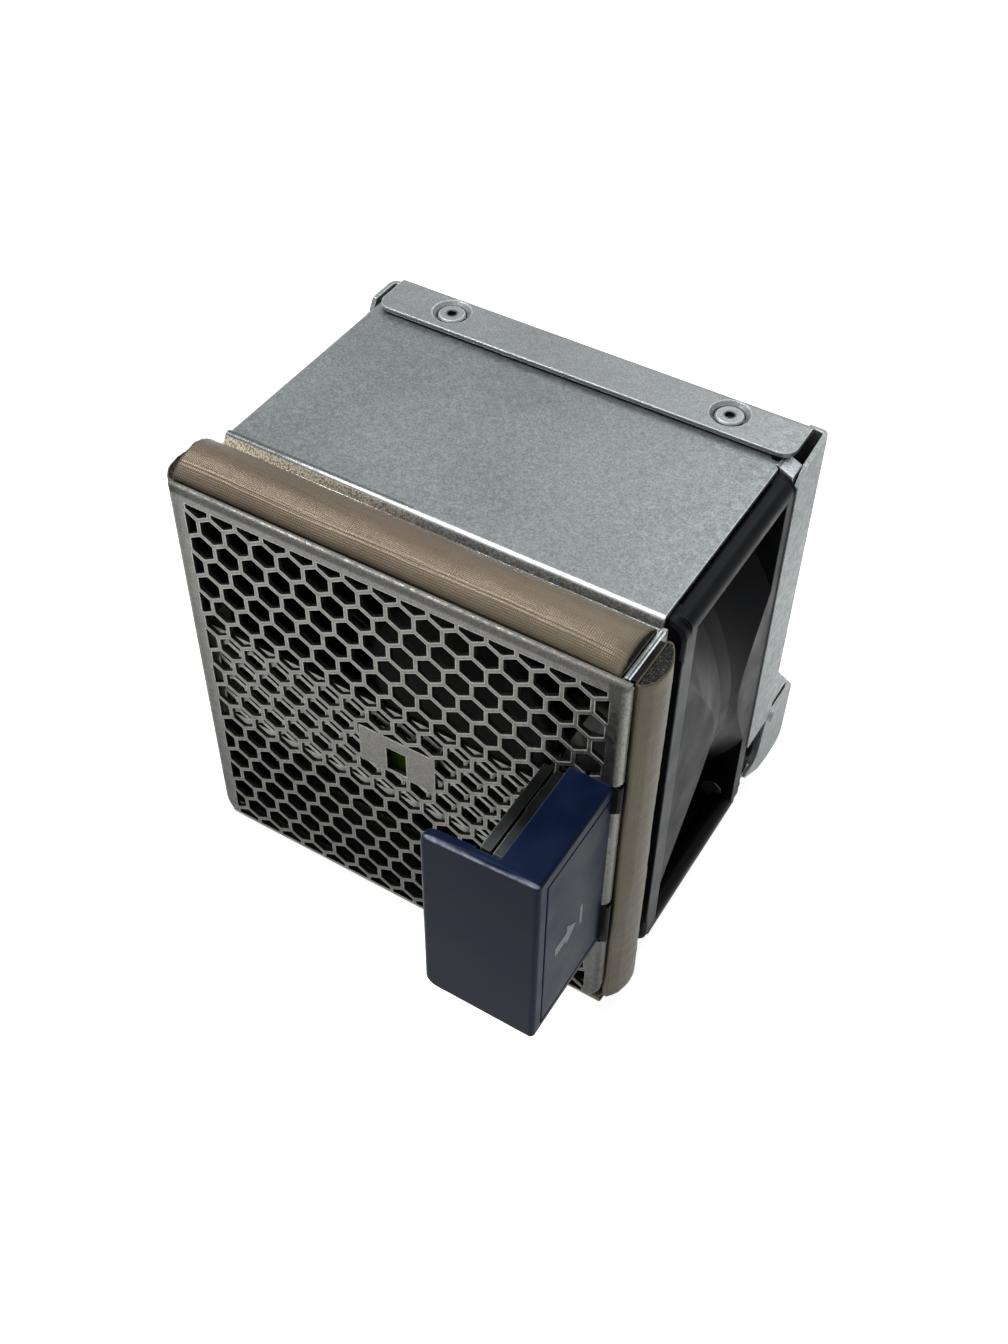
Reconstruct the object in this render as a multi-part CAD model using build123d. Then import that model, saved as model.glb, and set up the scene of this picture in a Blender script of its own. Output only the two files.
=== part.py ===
from build123d import *
from math import atan2, cos, degrees, hypot, pi, radians, sin, sqrt, tan
import os

# Switch fan tray: a hot-swap fan module for a network switch.
# A bent sheet shell holds one square axial fan behind a honeycomb faceplate.
# X runs to the right, Y to the rear and Z up; the units are millimetres.
# The origin lies on the front plane, under the fan axis, on the floor.

# Sheet metal
sheet = 0.8
bracket_sheet = 0.8
lap_gap = 0.5
fan_gap = 0.2
seat_gap = 0.1
fit_gap = 0.03

# Square axial fan
fan_side = 80.0
fan_depth = 38.0
fan_front = 15.1
fan_corner_radius = 3.0
fan_edge_chamfer = 0.5
front_flange = 3.9
rear_flange = 3.1
duct_wall = 1.4
bore_radius = 38.0
throat_front = 21.5
throat_rear = 25.5
inlet_radius = 50.5
outlet_radius = 46.5
flare_bow = 0.3
flare_middle = 0.47
post_size = 4.3
post_radius = 1.8
fan_hole_spacing = 71.5
fan_hole_radius = 2.15
fan_screw_rim = 1.3
fan_screw_head = 1.8
strut_width = 4.2
hub_base_radius = 20.0
end_wall = 1.2
board_post_radius = 1.2
board_post_circle = 12.5

# Impeller and motor
blade_count = 7
tip_clearance = 0.6
blade_thickness = 1.3
blade_root_chord = 25.0
blade_tip_chord = 27.0
blade_root_pitch = 52.0
blade_tip_pitch = 36.0
blade_bow = 0.09
blade_root_overlap = 0.6
blade_tip_overlap = 0.8
hub_radius = 19.5
hub_wall = 1.2
hub_inset = 2.0
hub_depth = 29.0
hub_nose_radius = 3.0
boss_radius = 4.0
boss_depth = 5.4
yoke_wall = 1.0
yoke_depth = 24.0
magnet_thickness = 2.1
magnet_depth = 18.0
magnet_setback = 2.0
air_gap = 0.45
stator_depth = 12.0
stator_back_radius = 8.0
pole_count = 6
pole_width = 3.2
pole_shoe = 1.4
pole_opening = 2.6
coil_build = 1.3
coil_end = 1.5
tube_radius = 5.25
tube_wall = 1.2
tube_lead_in = 0.6
bearing_width = 4.0
shaft_radius = 1.5
shaft_end_gap = 1.6
board_thickness = 1.4
board_radius = 16.5
board_gap = 1.7

# Faceplate
face_left = -40.8
face_right = 38.8
face_bottom = 2.6
face_edge_radius = 1.2
face_roll_radius = 2.5
face_corner_radius = 5.0
lip_depth = 1.2
side_return_depth = 1.7
bottom_lip_depth = 2.6
face_hole_gap = 0.3

# Honeycomb of the faceplate
cell_pitch = 4.92
cell_web = 0.7
lattice_x = -30.36
lattice_z = 72.67
grille_left = -37.7
grille_right = 36.1
grille_bottom = 4.7
grille_top = 80.9
least_cell_area = 1.5

# Plain patch round the lamp window
patch_x = -0.35
patch_z = 43.8
patch_width = 14.5
patch_height = 8.4
window_x = -0.5
window_z = 42.85
window_width = 3.8
window_height = 5.3

# Plain pad behind the handle
pad_left = 24.7
pad_bottom = 18.5
pad_top_left = 57.5
pad_top_right = 63.3

# Shell
joggle = 1.7
joggle_front = 13.7
joggle_run = 0.9
joggle_lean = 0.5
joggle_bend = 1.0
joggle_inner_bend = 0.2
shell_front = 1.5
shell_bend = 1.6
shell_right = 36.65
shell_rear_gap = 0.4
tab_width = 9.4
tab_height = 8.6
tab_gap = 0.2
tongue_right = 39.0
tongue_left = 36.2
tongue_drop = 1.3
tongue_depth = 3.6
roof_corner_cut = 3.2
roof_corner_front = 52.5

# Rear bracket
bracket_front = 54.6
bracket_depth = 9.6
bracket_bend = 1.5
flange_left = -39.5
flange_right = 37.8
flange_corner = 2.5
side_outer = 40.3
side_front = 53.1
side_drop = 0.4
side_front_drop = 1.4
side_chamfer = 2.6
side_foot = 1.4
left_wall_front = 56.4
left_wall_drop = 1.4
left_chamfer_run = 1.3
left_chamfer_drop = 2.0
panel_gap = 0.4
exhaust_radius = 36.0
rivet_y = 59.5
rivet_left = -27.2
rivet_right = 25.0
dimple_radius = 3.4
dimple_floor_radius = 2.6
rivet_head = 0.5
rivet_head_radius = 2.4
rivet_edge = 0.25
rivet_shank_radius = 1.6
rivet_hole_radius = 0.8
rivet_hole_depth = 1.0
rivet_tail = 1.2

# Detent ear at the lower right of the bracket
ear_join_top = 30.2
ear_front_bottom = 8.9
ear_corners = ((8.9, 17.3, 3.0), (8.3, 2.4, 2.5), (2.1, 2.3, 6.0), (-2.4, 3.2, 6.0))
ear_neck_radius = 1.2
ear_slot_front = 62.6
ear_slot_end = 69.2
ear_slot_bottom = 19.9
ear_slot_height = 2.0
notch_bottom = 7.8
notch_top = 18.4
notch_rear = 61.6
notch_lean = 1.4
notch_corner = 2.5
detent_y = 63.4
detent_z = 17.0
detent_radius = 1.0
detent_height = 0.6
slot_rounding = 0.45

# Blind-mate connector and the fan lead
plug_x = 33.5
plug_z = 12.0
plug_width = 8.4
plug_height = 13.4
plug_front = 58.5
plug_rear = 68.0
plug_wall = 1.3
plug_flange = 1.2
plug_gap = 0.3
plug_chamfer = 0.6
contact_rows = 4
contact_pitch = 2.6
contact_width = 0.8
contact_back = 3.5
contact_reach = 0.8
lead_radius = 1.1
lead_start = 15.5
lead_bend_start = 38.0
lead_bend_end = 3.2
lead_groove_reach = 0.66
lead_bend_share = 0.45

# Gaskets: a metallised cloth round a foam core, with open cut ends
cloth = 0.35
core_gap = 0.08
gasket_front = 1.6
gasket_rear = 13.2
gasket_height = 3.8
gasket_side = 0.9
top_tape = 0.6
gasket_left = -40.7
gasket_right_end = 36.5
floor_gasket_right = 38.4
side_gasket_front = 2.1
side_gasket_rear = 11.7
side_gasket_height = 2.8
side_gasket_inset = 0.15
pressed_corner = 0.75
side_tape = 0.9
left_tape = 0.2
tape_margin = 0.5

# Carrier of the right-hand gasket
carrier_front = 2.3
carrier_rear = 13.5
carrier_inner = 37.0
carrier_rise = 0.9
carrier_tab = 4.0
carrier_tab_front = 4.0
carrier_tab_rear = 12.0
carrier_notch = 0.9

# Handle
handle_right = 37.9
handle_left = 18.0
handle_bottom = 21.4
handle_top = 61.9
handle_top_drop = 1.3
handle_front = -20.9
handle_plate = 2.1
handle_block_left = 30.6
handle_edge = 0.8
handle_corner = 2.2
handle_side_wall = 1.5
handle_roof = 0.8
handle_rear_edge = 0.5
handle_floor = 1.2
groove_width = 0.5
groove_depth = 0.35
groove_top = 2.5
groove_front = 2.2
groove_bottom = 1.8
handle_boss_radius = 2.3
handle_boss_depth = 4.8
handle_screw_x = 34.1
handle_screw_z = (39.0, 51.0)
screw_radius = 1.1
screw_head_radius = 2.2
screw_head = 1.5
handle_bore_end = 0.8
handle_screw_gap = 0.4

# Release lever in the handle
lever_left = 26.9
lever_width = 3.7
lever_front = -18.5
lever_rear = -0.8
lever_bottom = 22.7
lever_top = 61.1
lever_edge = 0.25
lever_groove = 0.4
lever_groove_depth = 2.0
lever_leaf_drop = 0.3
lever_clearance = 0.3
pocket_front = -19.4
pocket_right = 32.4
pin_x = 33.5
pin_y = -7.0
pin_radius = 1.25
pin_gap = 0.05
knuckle_radius = 2.3
arm_left = 32.3
arm_right = 35.7
tooth_reach = 39.1
tooth_front = 0.25
tooth_rear = 1.4
tooth_gap = 0.4
tooth_chamfer = 0.3
upper_slot_bottom = 55.4
upper_slot_top = 61.9
lower_slot_bottom = 21.5
lower_slot_top = 32.2
arm_slot_left = 31.0

# Hairpin leaf spring between the lever and the handle wall
spring_strip = 0.3
spring_width = 8.0
spring_z = 45.0
spring_leg = 4.7

# Lamp bracket, lamp board and lamp
lamp_strip_front = 2.0
lamp_strip_thickness = 0.8
lamp_strip_bottom = 30.2
lamp_strip_top = 52.4
lamp_strip_right = 25.6
lamp_foot_right = 30.4
lamp_strip_margin = 1.2
lamp_tab_depth = 5.0
lamp_board_width = 11.0
lamp_board_height = 9.0
lamp_board_thickness = 1.0
lamp_width = 2.0
lamp_height = 1.6
lamp_rise = 1.0

# Places worked out from the driving sizes
shell_bottom = bracket_sheet + lap_gap
fan_bottom = shell_bottom + sheet + fan_gap
axis_z = fan_bottom + fan_side / 2
shell_top = fan_bottom + fan_side + fan_gap + sheet
shell_left = -(fan_side / 2 + fan_gap + sheet)
fan_rear = fan_front + fan_depth
face_top = shell_top
bracket_rear = bracket_front + bracket_depth
bracket_top = shell_top + lap_gap + bracket_sheet
bracket_left = shell_left - lap_gap - bracket_sheet
strip_top = shell_top - joggle
strip_bottom = shell_bottom + joggle
joggle_turn = atan2(joggle, joggle_run)
roof_front = joggle_front + joggle_run + joggle_bend * tan(joggle_turn / 2)
carrier_top = strip_top + carrier_rise
carrier_bottom = strip_bottom
side_gasket_top = carrier_top - side_gasket_inset
side_gasket_bottom = carrier_bottom + side_gasket_inset
cell_row = cell_pitch * sqrt(3) / 2
base_front = fan_rear - rear_flange
hub_front = fan_front + hub_inset
hub_inner = hub_radius - hub_wall
tip_radius = bore_radius - tip_clearance
tube_front = hub_front + hub_wall + boss_depth + tube_lead_in
tube_rear = fan_rear - end_wall
plate_front = base_front - board_gap - board_thickness

os.makedirs("parts", exist_ok=True)


def save(node, shape):
    """Write one sub-part."""
    export_step(shape, "parts/" + node + ".step")


def block(x0, x1, y0, y1, z0, z1):
    """A box between two corners."""
    centre = Pos((x0 + x1) / 2, (y0 + y1) / 2, (z0 + z1) / 2)
    return centre * Box(x1 - x0, y1 - y0, z1 - z0)


def along_y(sketch, y0, y1):
    """A front view (X, Z) pulled from y0 to y1."""
    return Pos(0, y0, 0) * extrude(Plane.XZ * sketch, y1 - y0, dir=(0, 1, 0))


def along_x(sketch, x0, x1):
    """A side view (Y, Z) pulled from x0 to x1."""
    return Pos(x0, 0, 0) * extrude(Plane.YZ * sketch, x1 - x0, dir=(1, 0, 0))


def along_z(sketch, z0, z1):
    """A plan (X, Y) pulled from z0 to z1."""
    return Pos(0, 0, z0) * extrude(sketch, z1 - z0, dir=(0, 0, 1))


def rectangle(u0, u1, v0, v1):
    """A flat rectangle between two corners."""
    return Pos((u0 + u1) / 2, (v0 + v1) / 2) * Rectangle(u1 - u0, v1 - v0)


def rod_y(x, z, radius, y0, y1):
    """A round bar along Y."""
    return along_y(Pos(x, z) * Circle(radius), y0, y1)


def turned(profile):
    """Revolve a half profile of (radius, y) about the fan axis."""
    half = make_face(Polyline(*[(r, 0, y) for r, y in profile], close=True))
    return Pos(0, 0, axis_z) * Rot(-90, 0, 0) * revolve(half, Axis.Z)


def corner_near(sketch, u, v):
    """The corner of a flat outline that lies nearest to a place."""
    return sketch.vertices().sort_by_distance((u, v, 0))[0]


def floor_mirror(shape):
    """The same shape mirrored to the other half of the shell's height."""
    middle = Plane(origin=(0, 0, axis_z), z_dir=(0, 0, 1))
    return mirror(shape, about=middle)


def fan_corners():
    """The four mounting places of the fan, as (X, Z)."""
    half = fan_hole_spacing / 2
    return [(sx * half, axis_z + sz * half) for sx in (-1, 1) for sz in (-1, 1)]


def hexagon(x, z, web):
    """One upright honeycomb cell."""
    radius = (cell_pitch - web) / sqrt(3)
    return Pos(x, z) * RegularPolygon(radius, 6, rotation=30)


def honeycomb(region, x0, z0, bounds, web):
    """Cells of a lattice through (x0, z0), cut off at the edge of a region."""
    left, right, bottom, top = bounds
    reach = cell_pitch / sqrt(3)
    cells = []
    row_first = int((bottom - z0) / cell_row) - 2
    row_last = int((top - z0) / cell_row) + 2
    for row in range(row_first, row_last + 1):
        z = z0 + row * cell_row
        shift = 0.5 * (row % 2)
        column_first = int((left - x0) / cell_pitch) - 2
        column_last = int((right - x0) / cell_pitch) + 2
        for column in range(column_first, column_last + 1):
            x = x0 + (column + shift) * cell_pitch
            outside = x < left - reach or x > right + reach
            if outside or z < bottom - reach or z > top + reach:
                continue
            for piece in (hexagon(x, z, web) & region).faces():
                if piece.area > least_cell_area:
                    cells.append(piece)
    return cells


def faceplate_blank(inset):
    """The tray-shaped blank of the faceplate, or its hollow when inset."""
    outline = rectangle(
        face_left + inset, face_right - inset, face_bottom + inset, face_top - inset
    )
    low = outline.vertices().sort_by(Axis.Y)[:2]
    outline = fillet(low, face_corner_radius - inset)
    blank = along_y(outline, inset, bottom_lip_depth + inset)
    front = blank.faces().sort_by(Axis.Y)[0]
    blank = fillet(front.edges(), face_edge_radius - inset)
    profile = rectangle(
        inset, bottom_lip_depth + inset, face_bottom + inset, face_top - inset
    )
    corner = profile.vertices().sort_by(Axis.Y)[:2].sort_by(Axis.X)[0]
    profile = fillet(corner, face_roll_radius - inset)
    return blank & along_x(profile, face_left, face_right)


def make_faceplate():
    """Honeycomb faceplate with short folded edges and latch slots."""
    blank = faceplate_blank(0) - faceplate_blank(sheet)
    front_zone = block(face_left, face_right, 0, lip_depth, face_bottom, face_top)
    side_zone = block(
        face_right - face_corner_radius,
        face_right,
        0,
        side_return_depth,
        face_bottom + face_corner_radius,
        face_top - face_edge_radius,
    )
    low_zone = block(
        face_left + face_corner_radius,
        face_right - face_corner_radius,
        0,
        bottom_lip_depth,
        face_bottom,
        face_bottom + face_corner_radius,
    )
    plate = blank & (front_zone + side_zone + low_zone)
    for bottom, top in (
        (upper_slot_bottom, upper_slot_top),
        (lower_slot_bottom, lower_slot_top),
    ):
        plate -= block(arm_slot_left, face_right + 1, -1, 3, bottom, top)
    region = rectangle(grille_left, grille_right, grille_bottom, grille_top)
    region -= Pos(patch_x, patch_z) * Rectangle(patch_width, patch_height)
    region -= Polygon(
        (pad_left, pad_bottom),
        (face_right, pad_bottom),
        (face_right, pad_top_right),
        (pad_left, pad_top_left),
        align=None,
    )
    bounds = (grille_left, grille_right, grille_bottom, grille_top)
    cells = honeycomb(region, lattice_x, lattice_z, bounds, cell_web)
    cells.append((Pos(window_x, window_z) * Rectangle(window_width, window_height)).face())
    cutters = [along_y(cell, -1, sheet + 1) for cell in cells]
    for z in handle_screw_z:
        cutters.append(rod_y(handle_screw_x, z, screw_radius + face_hole_gap, -1, sheet + 1))
    return plate - cutters


def shell_section(top, bottom):
    """Front view of the sheet: roof, left wall and floor, open to the right."""
    outer = rectangle(shell_left, shell_right, bottom, top)
    outer = fillet(outer.vertices().sort_by(Axis.X)[:2], shell_bend)
    inner = rectangle(shell_left + sheet, shell_right + 1, bottom + sheet, top - sheet)
    inner = fillet(inner.vertices().sort_by(Axis.X)[:2], shell_bend - sheet)
    return outer - inner


def joggle_profile(front):
    """Side view of the lowered front strip and its step up to the roof."""
    step = joggle_front + joggle_run
    rear = step + joggle_run
    profile = Polygon(
        (front, strip_top),
        (joggle_front, strip_top),
        (step, shell_top),
        (rear, shell_top),
        (rear, shell_top - sheet),
        (step + joggle_lean, shell_top - sheet),
        (joggle_front + joggle_lean, strip_top - sheet),
        (front, strip_top - sheet),
        align=None,
    )
    for y, z, radius in (
        (joggle_front, strip_top, joggle_inner_bend),
        (step, shell_top, joggle_bend),
        (step + joggle_lean, shell_top - sheet, joggle_inner_bend),
        (joggle_front + joggle_lean, strip_top - sheet, joggle_bend),
    ):
        profile = fillet(corner_near(profile, y, z), radius)
    return profile


def fan_tabs():
    """Upper pair of folded tabs that the fan is screwed to."""
    y0 = fan_rear + tab_gap
    y1 = y0 + sheet
    top = shell_top
    low = axis_z + fan_hole_spacing / 2 - tab_height / 2
    right = tongue_right
    right_tab = Polygon(
        (right - tab_width, low),
        (right, low),
        (right, top - tongue_drop),
        (tongue_left, top),
        (right - tab_width, top),
        align=None,
    )
    tongue = Polygon(
        (right, top - tongue_drop - sheet),
        (right, top - tongue_drop),
        (tongue_left, top),
        (tongue_left, top - sheet),
        align=None,
    )
    tabs = along_y(right_tab, y0, y1) + along_y(tongue, y0, y0 + tongue_depth)
    left = shell_left
    tabs += block(left + sheet / 2, left + tab_width, y0, y1, low, top - sheet / 2)
    return tabs


def roof_corner():
    """Corner that is cut off the roof at its right rear end."""
    right = shell_right + 1
    rear = bracket_rear
    cut = roof_corner_cut
    plan = Polygon(
        (shell_right, roof_corner_front),
        (right, roof_corner_front),
        (right, rear),
        (shell_right - cut, rear),
        (shell_right - cut, roof_corner_front + cut),
        align=None,
    )
    return along_z(plan, shell_top - sheet - 1, shell_top + 1)


def make_chassis_shell():
    """Roof, left wall and floor bent from one sheet, with the fan tabs."""
    rear = bracket_rear - bracket_sheet - shell_rear_gap
    shell = along_y(shell_section(shell_top, shell_bottom), roof_front, rear)
    shell -= [roof_corner(), floor_mirror(roof_corner())]
    wall = shell_left + sheet
    shell += block(shell_left, wall, shell_front, roof_front, strip_bottom, strip_top)
    left = shell_left + sheet / 2
    shell += along_x(joggle_profile(lip_depth), left, shell_right)
    shell += floor_mirror(along_x(joggle_profile(bottom_lip_depth), left, shell_right))
    tabs = fan_tabs()
    shell += [tabs, floor_mirror(tabs)]
    for x, z in fan_corners():
        shell -= rod_y(x, z, fan_hole_radius, fan_rear, fan_rear + 2)
    for x in (rivet_left, rivet_right):
        hole = Pos(x, rivet_y, axis_z) * Cylinder(rivet_shank_radius + fit_gap, 2 * fan_side)
        shell -= hole
    return shell


def make_gasket_carrier():
    """Upright web on the open side that carries the right-hand gasket."""
    web = block(
        carrier_inner,
        carrier_inner + sheet,
        carrier_front,
        carrier_rear,
        carrier_bottom,
        carrier_top,
    )
    tab = block(
        carrier_inner - carrier_tab,
        carrier_inner,
        carrier_tab_front,
        carrier_tab_rear,
        strip_top - 2 * sheet,
        strip_top - sheet,
    )
    web += [tab, floor_mirror(tab)]
    for bottom, top in (
        (upper_slot_bottom, upper_slot_top),
        (lower_slot_bottom, lower_slot_top),
    ):
        web -= block(
            carrier_inner - 1,
            carrier_inner + 2,
            carrier_front - 1,
            carrier_front + carrier_notch,
            bottom,
            top,
        )
    return web


def bracket_cheek():
    """Right cheek of the rear bracket, with its ear, slot and notch."""
    bend_start = bracket_rear - bracket_bend
    front_top = bracket_top - side_front_drop
    corners = [(bracket_rear + y, z, radius) for y, z, radius in ear_corners]
    cheek = Polygon(
        (bend_start, bracket_top - side_drop),
        (side_front + side_chamfer, front_top),
        (side_front, front_top - side_chamfer),
        (side_front, ear_front_bottom),
        *[(y, z) for y, z, radius in reversed(corners)],
        (bend_start, ear_join_top),
        align=None,
    )
    for y, z, radius in corners + [(bend_start, ear_join_top, ear_neck_radius)]:
        cheek = fillet(corner_near(cheek, y, z), radius)
    notch = Polygon(
        (side_front - 1, notch_bottom),
        (notch_rear - notch_lean, notch_bottom),
        (notch_rear, notch_top),
        (side_front - 1, notch_top),
        align=None,
    )
    notch = fillet(corner_near(notch, notch_rear - notch_lean, notch_bottom), notch_corner)
    slot_top = ear_slot_bottom + ear_slot_height
    slot = rectangle(ear_slot_front, ear_slot_end, ear_slot_bottom, slot_top)
    slot = fillet(slot.vertices(), ear_slot_height * slot_rounding)
    cheek = cheek - notch - slot
    plate = along_x(cheek, side_outer - bracket_sheet, side_outer)
    dimple = along_x(Pos(detent_y, detent_z) * Circle(detent_radius), 0, detent_height)
    crown = dimple.faces().sort_by(Axis.X)[-1].edges()
    dimple = fillet(crown, detent_height * 0.8)
    return plate + Pos(side_outer, 0, 0) * dimple


def bent(front, rear, low, high):
    """Outline of a sheet bent twice, open at its front edge."""
    outer = rectangle(front, rear, low, high)
    outer = fillet(outer.vertices().sort_by(Axis.X)[-2:], bracket_bend)
    inner = rectangle(front - 1, rear - bracket_sheet, low + bracket_sheet, high - bracket_sheet)
    inner = fillet(inner.vertices().sort_by(Axis.X)[-2:], bracket_bend - bracket_sheet)
    return outer - inner


def bracket_back():
    """Roof flange, back panel and floor flange bent from one strip."""
    back = along_x(
        bent(bracket_front, bracket_rear, 0, bracket_top), flange_left, flange_right
    )
    plan = rectangle(flange_left, flange_right, bracket_front, bracket_rear)
    plan = fillet(plan.vertices().sort_by(Axis.Y)[:2], flange_corner)
    back &= along_z(plan, 0, bracket_top)
    for x in (rivet_left, rivet_right):
        dimple = Cone(dimple_floor_radius, dimple_radius, bracket_sheet)
        dimple = Pos(x, rivet_y, bracket_top - bracket_sheet / 2) * dimple
        back -= [dimple, floor_mirror(dimple)]
    return back


def bracket_sides():
    """Left wall and right bend, folded forward from the ends of the panel."""
    section = Rot(0, 0, 90) * bent(0, bracket_depth, -side_outer, -bracket_left)
    section = Pos(0, bracket_front) * section
    low, high = left_wall_drop, bracket_top - left_wall_drop
    outline = Polygon(
        (left_wall_front, low + left_chamfer_drop),
        (left_wall_front + left_chamfer_run, low),
        (bracket_rear, low),
        (bracket_rear, high),
        (left_wall_front + left_chamfer_run, high),
        (left_wall_front, high - left_chamfer_drop),
        align=None,
    )
    wall = along_z(section, low, high) & along_x(outline, bracket_left, flange_left + 1)
    bend = along_z(section, ear_join_top, bracket_top - side_drop)
    bend &= block(
        flange_right - 1, side_outer, bracket_rear - bracket_bend, bracket_rear,
        0, bracket_top,
    )
    return wall, bend


def make_rear_bracket():
    """Back panel with the exhaust opening, flanges and the ear cheek."""
    bracket = bracket_back()
    wall, bend = bracket_sides()
    bracket += [wall, bend]
    bracket += block(
        flange_right - 1,
        side_outer - bracket_sheet - panel_gap,
        bracket_rear - bracket_sheet,
        bracket_rear,
        side_foot,
        ear_join_top,
    )
    bracket -= rod_y(0, axis_z, exhaust_radius, bracket_front, bracket_rear + 1)
    bracket -= block(
        plug_x - plug_width / 2 - plug_gap,
        plug_x + plug_width / 2 + plug_gap,
        bracket_rear - bracket_sheet - 1,
        bracket_rear + 1,
        plug_z - plug_height / 2 - plug_gap,
        plug_z + plug_height / 2 + plug_gap,
    )
    return bracket + bracket_cheek()


def make_cover_rivets():
    """Four countersunk rivets through the bracket flanges and the shell."""
    rivets = []
    for x in (rivet_left, rivet_right):
        low = bracket_top - bracket_sheet
        head = Cylinder(rivet_head_radius, rivet_head)
        head = chamfer(head.edges().sort_by(Axis.Z)[-1], rivet_edge)
        rivet = Pos(x, rivet_y, low + rivet_head / 2) * head
        tail_end = shell_top - sheet - rivet_tail
        shank = Cylinder(rivet_shank_radius, low - tail_end)
        rivet += Pos(x, rivet_y, (low + tail_end) / 2) * shank
        hole = Cylinder(rivet_hole_radius, 2 * rivet_hole_depth)
        rivet -= Pos(x, rivet_y, low + rivet_head) * hole
        rivets.extend([rivet, floor_mirror(rivet)])
    return Compound(children=rivets)


def duct(offset):
    """Bell-mouthed round duct: a throat with a flared inlet and outlet."""
    front = fan_front
    rear = fan_rear
    neck_front = front + throat_front
    neck_rear = front + throat_rear
    with BuildPart() as bell:
        with BuildSketch(Plane.XZ):
            with BuildLine():
                Line((0, front), (inlet_radius + offset, front))
                ThreePointArc(
                    (inlet_radius + offset, front),
                    (
                        bore_radius + offset + flare_bow * (inlet_radius - bore_radius),
                        front + flare_middle * throat_front,
                    ),
                    (bore_radius + offset, neck_front),
                )
                Line((bore_radius + offset, neck_front), (bore_radius + offset, neck_rear))
                ThreePointArc(
                    (bore_radius + offset, neck_rear),
                    (
                        bore_radius + offset + flare_bow * (outlet_radius - bore_radius),
                        rear - flare_middle * (rear - neck_rear),
                    ),
                    (outlet_radius + offset, rear),
                )
                Line((outlet_radius + offset, rear), (0, rear))
                Line((0, rear), (0, front))
            make_face()
        revolve(axis=Axis.Z)
    return Pos(0, 0, axis_z) * Rot(-90, 0, 0) * bell.part


def fan_square(inset, y0, y1):
    """The fan's square outline, pulled from y0 to y1."""
    side = fan_side - 2 * inset
    outline = Pos(0, axis_z) * RectangleRounded(side, side, fan_corner_radius)
    return along_y(outline, y0, y1)


def lead_direction():
    """Unit vector, in (X, Z), from the fan axis to the connector."""
    reach = hypot(plug_x, axis_z - plug_z)
    return plug_x / reach, (plug_z - axis_z) / reach


def radial_bar(angle, width, r0, r1, y0, y1):
    """A straight bar out from the fan axis at an angle above +X."""
    bar = rectangle(r0, r1, -width / 2, width / 2)
    return along_y(Pos(0, axis_z) * Rot(0, 0, angle) * bar, y0, y1)


def make_fan_housing():
    """Moulded fan frame with flanges, flared duct, struts and motor base."""
    body = duct(duct_wall) & fan_square(0, fan_front, fan_rear)
    rim_front = fan_square(0, fan_front, fan_front + front_flange)
    edge = rim_front.faces().sort_by(Axis.Y)[0].edges()
    body += chamfer(edge, fan_edge_chamfer)
    body += fan_square(0, fan_rear - rear_flange, fan_rear)
    outer = fan_side / 2
    for sx in (-1, 1):
        for sz in (-1, 1):
            post = rectangle(
                min(sx * outer, sx * (outer - post_size)),
                max(sx * outer, sx * (outer - post_size)),
                axis_z + min(sz * outer, sz * (outer - post_size)),
                axis_z + max(sz * outer, sz * (outer - post_size)),
            )
            post = fillet(post.vertices(), post_radius)
            body += along_y(post, fan_front + front_flange / 2, fan_rear - rear_flange / 2)
    hollow = duct(0) & fan_square(duct_wall, fan_front - 1, fan_rear + 1)
    body -= hollow
    angle = degrees(atan2(lead_direction()[1], lead_direction()[0]))
    for turn in range(4):
        body += radial_bar(
            angle + 90 * turn, strut_width, hub_base_radius - 1, outlet_radius + 1,
            base_front, fan_rear,
        )
    body += rod_y(0, axis_z, hub_base_radius, base_front, fan_rear)
    body -= rod_y(0, axis_z, tube_radius + fit_gap, base_front - 1, tube_rear)
    for turn in range(3):
        a = radians(angle + 60 + 120 * turn)
        x = board_post_circle * cos(a)
        z = axis_z + board_post_circle * sin(a)
        body += rod_y(x, z, board_post_radius, base_front - board_gap, base_front + 0.5)
    groove = 2 * lead_radius + 2 * seat_gap
    body -= radial_bar(
        angle, groove, lead_start, fan_hole_spacing * lead_groove_reach,
        fan_rear - groove, fan_rear + 1,
    )
    for x, z in fan_corners():
        body -= rod_y(x, z, fan_hole_radius, fan_front - 1, fan_front + front_flange)
        body -= rod_y(x, z, fan_hole_radius, fan_rear - rear_flange, fan_rear + 1)
    return body


def make_fan_screws():
    """Four screws through the shell tabs into the fan's rear flange."""
    screws = []
    seat = fan_rear + tab_gap + sheet
    for x, z in fan_corners():
        shank = rod_y(x, z, fan_hole_radius - seat_gap, fan_rear - rear_flange, seat)
        head = rod_y(x, z, fan_hole_radius + fan_screw_rim, seat, seat + fan_screw_head)
        screws.append(shank + head)
    return Compound(children=screws)


def blade():
    """One impeller blade, lofted from root to tip, pointing along +X."""
    sections = []
    sizes = (
        (hub_radius - blade_root_overlap, blade_root_chord, blade_root_pitch),
        (tip_radius + blade_tip_overlap, blade_tip_chord, blade_tip_pitch),
    )
    for radius, chord, pitch in sizes:
        half = chord / 2
        bow = chord * blade_bow
        edge = blade_thickness / 2
        with BuildSketch(Plane.YZ.offset(radius)) as section:
            with BuildLine(Rot(0, 0, pitch)):
                ThreePointArc((-half, 0), (0, bow + edge), (half, 0))
                ThreePointArc((half, 0), (0, bow - edge), (-half, 0))
            make_face()
        sections.append(section.sketch)
    return loft(sections)


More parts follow.
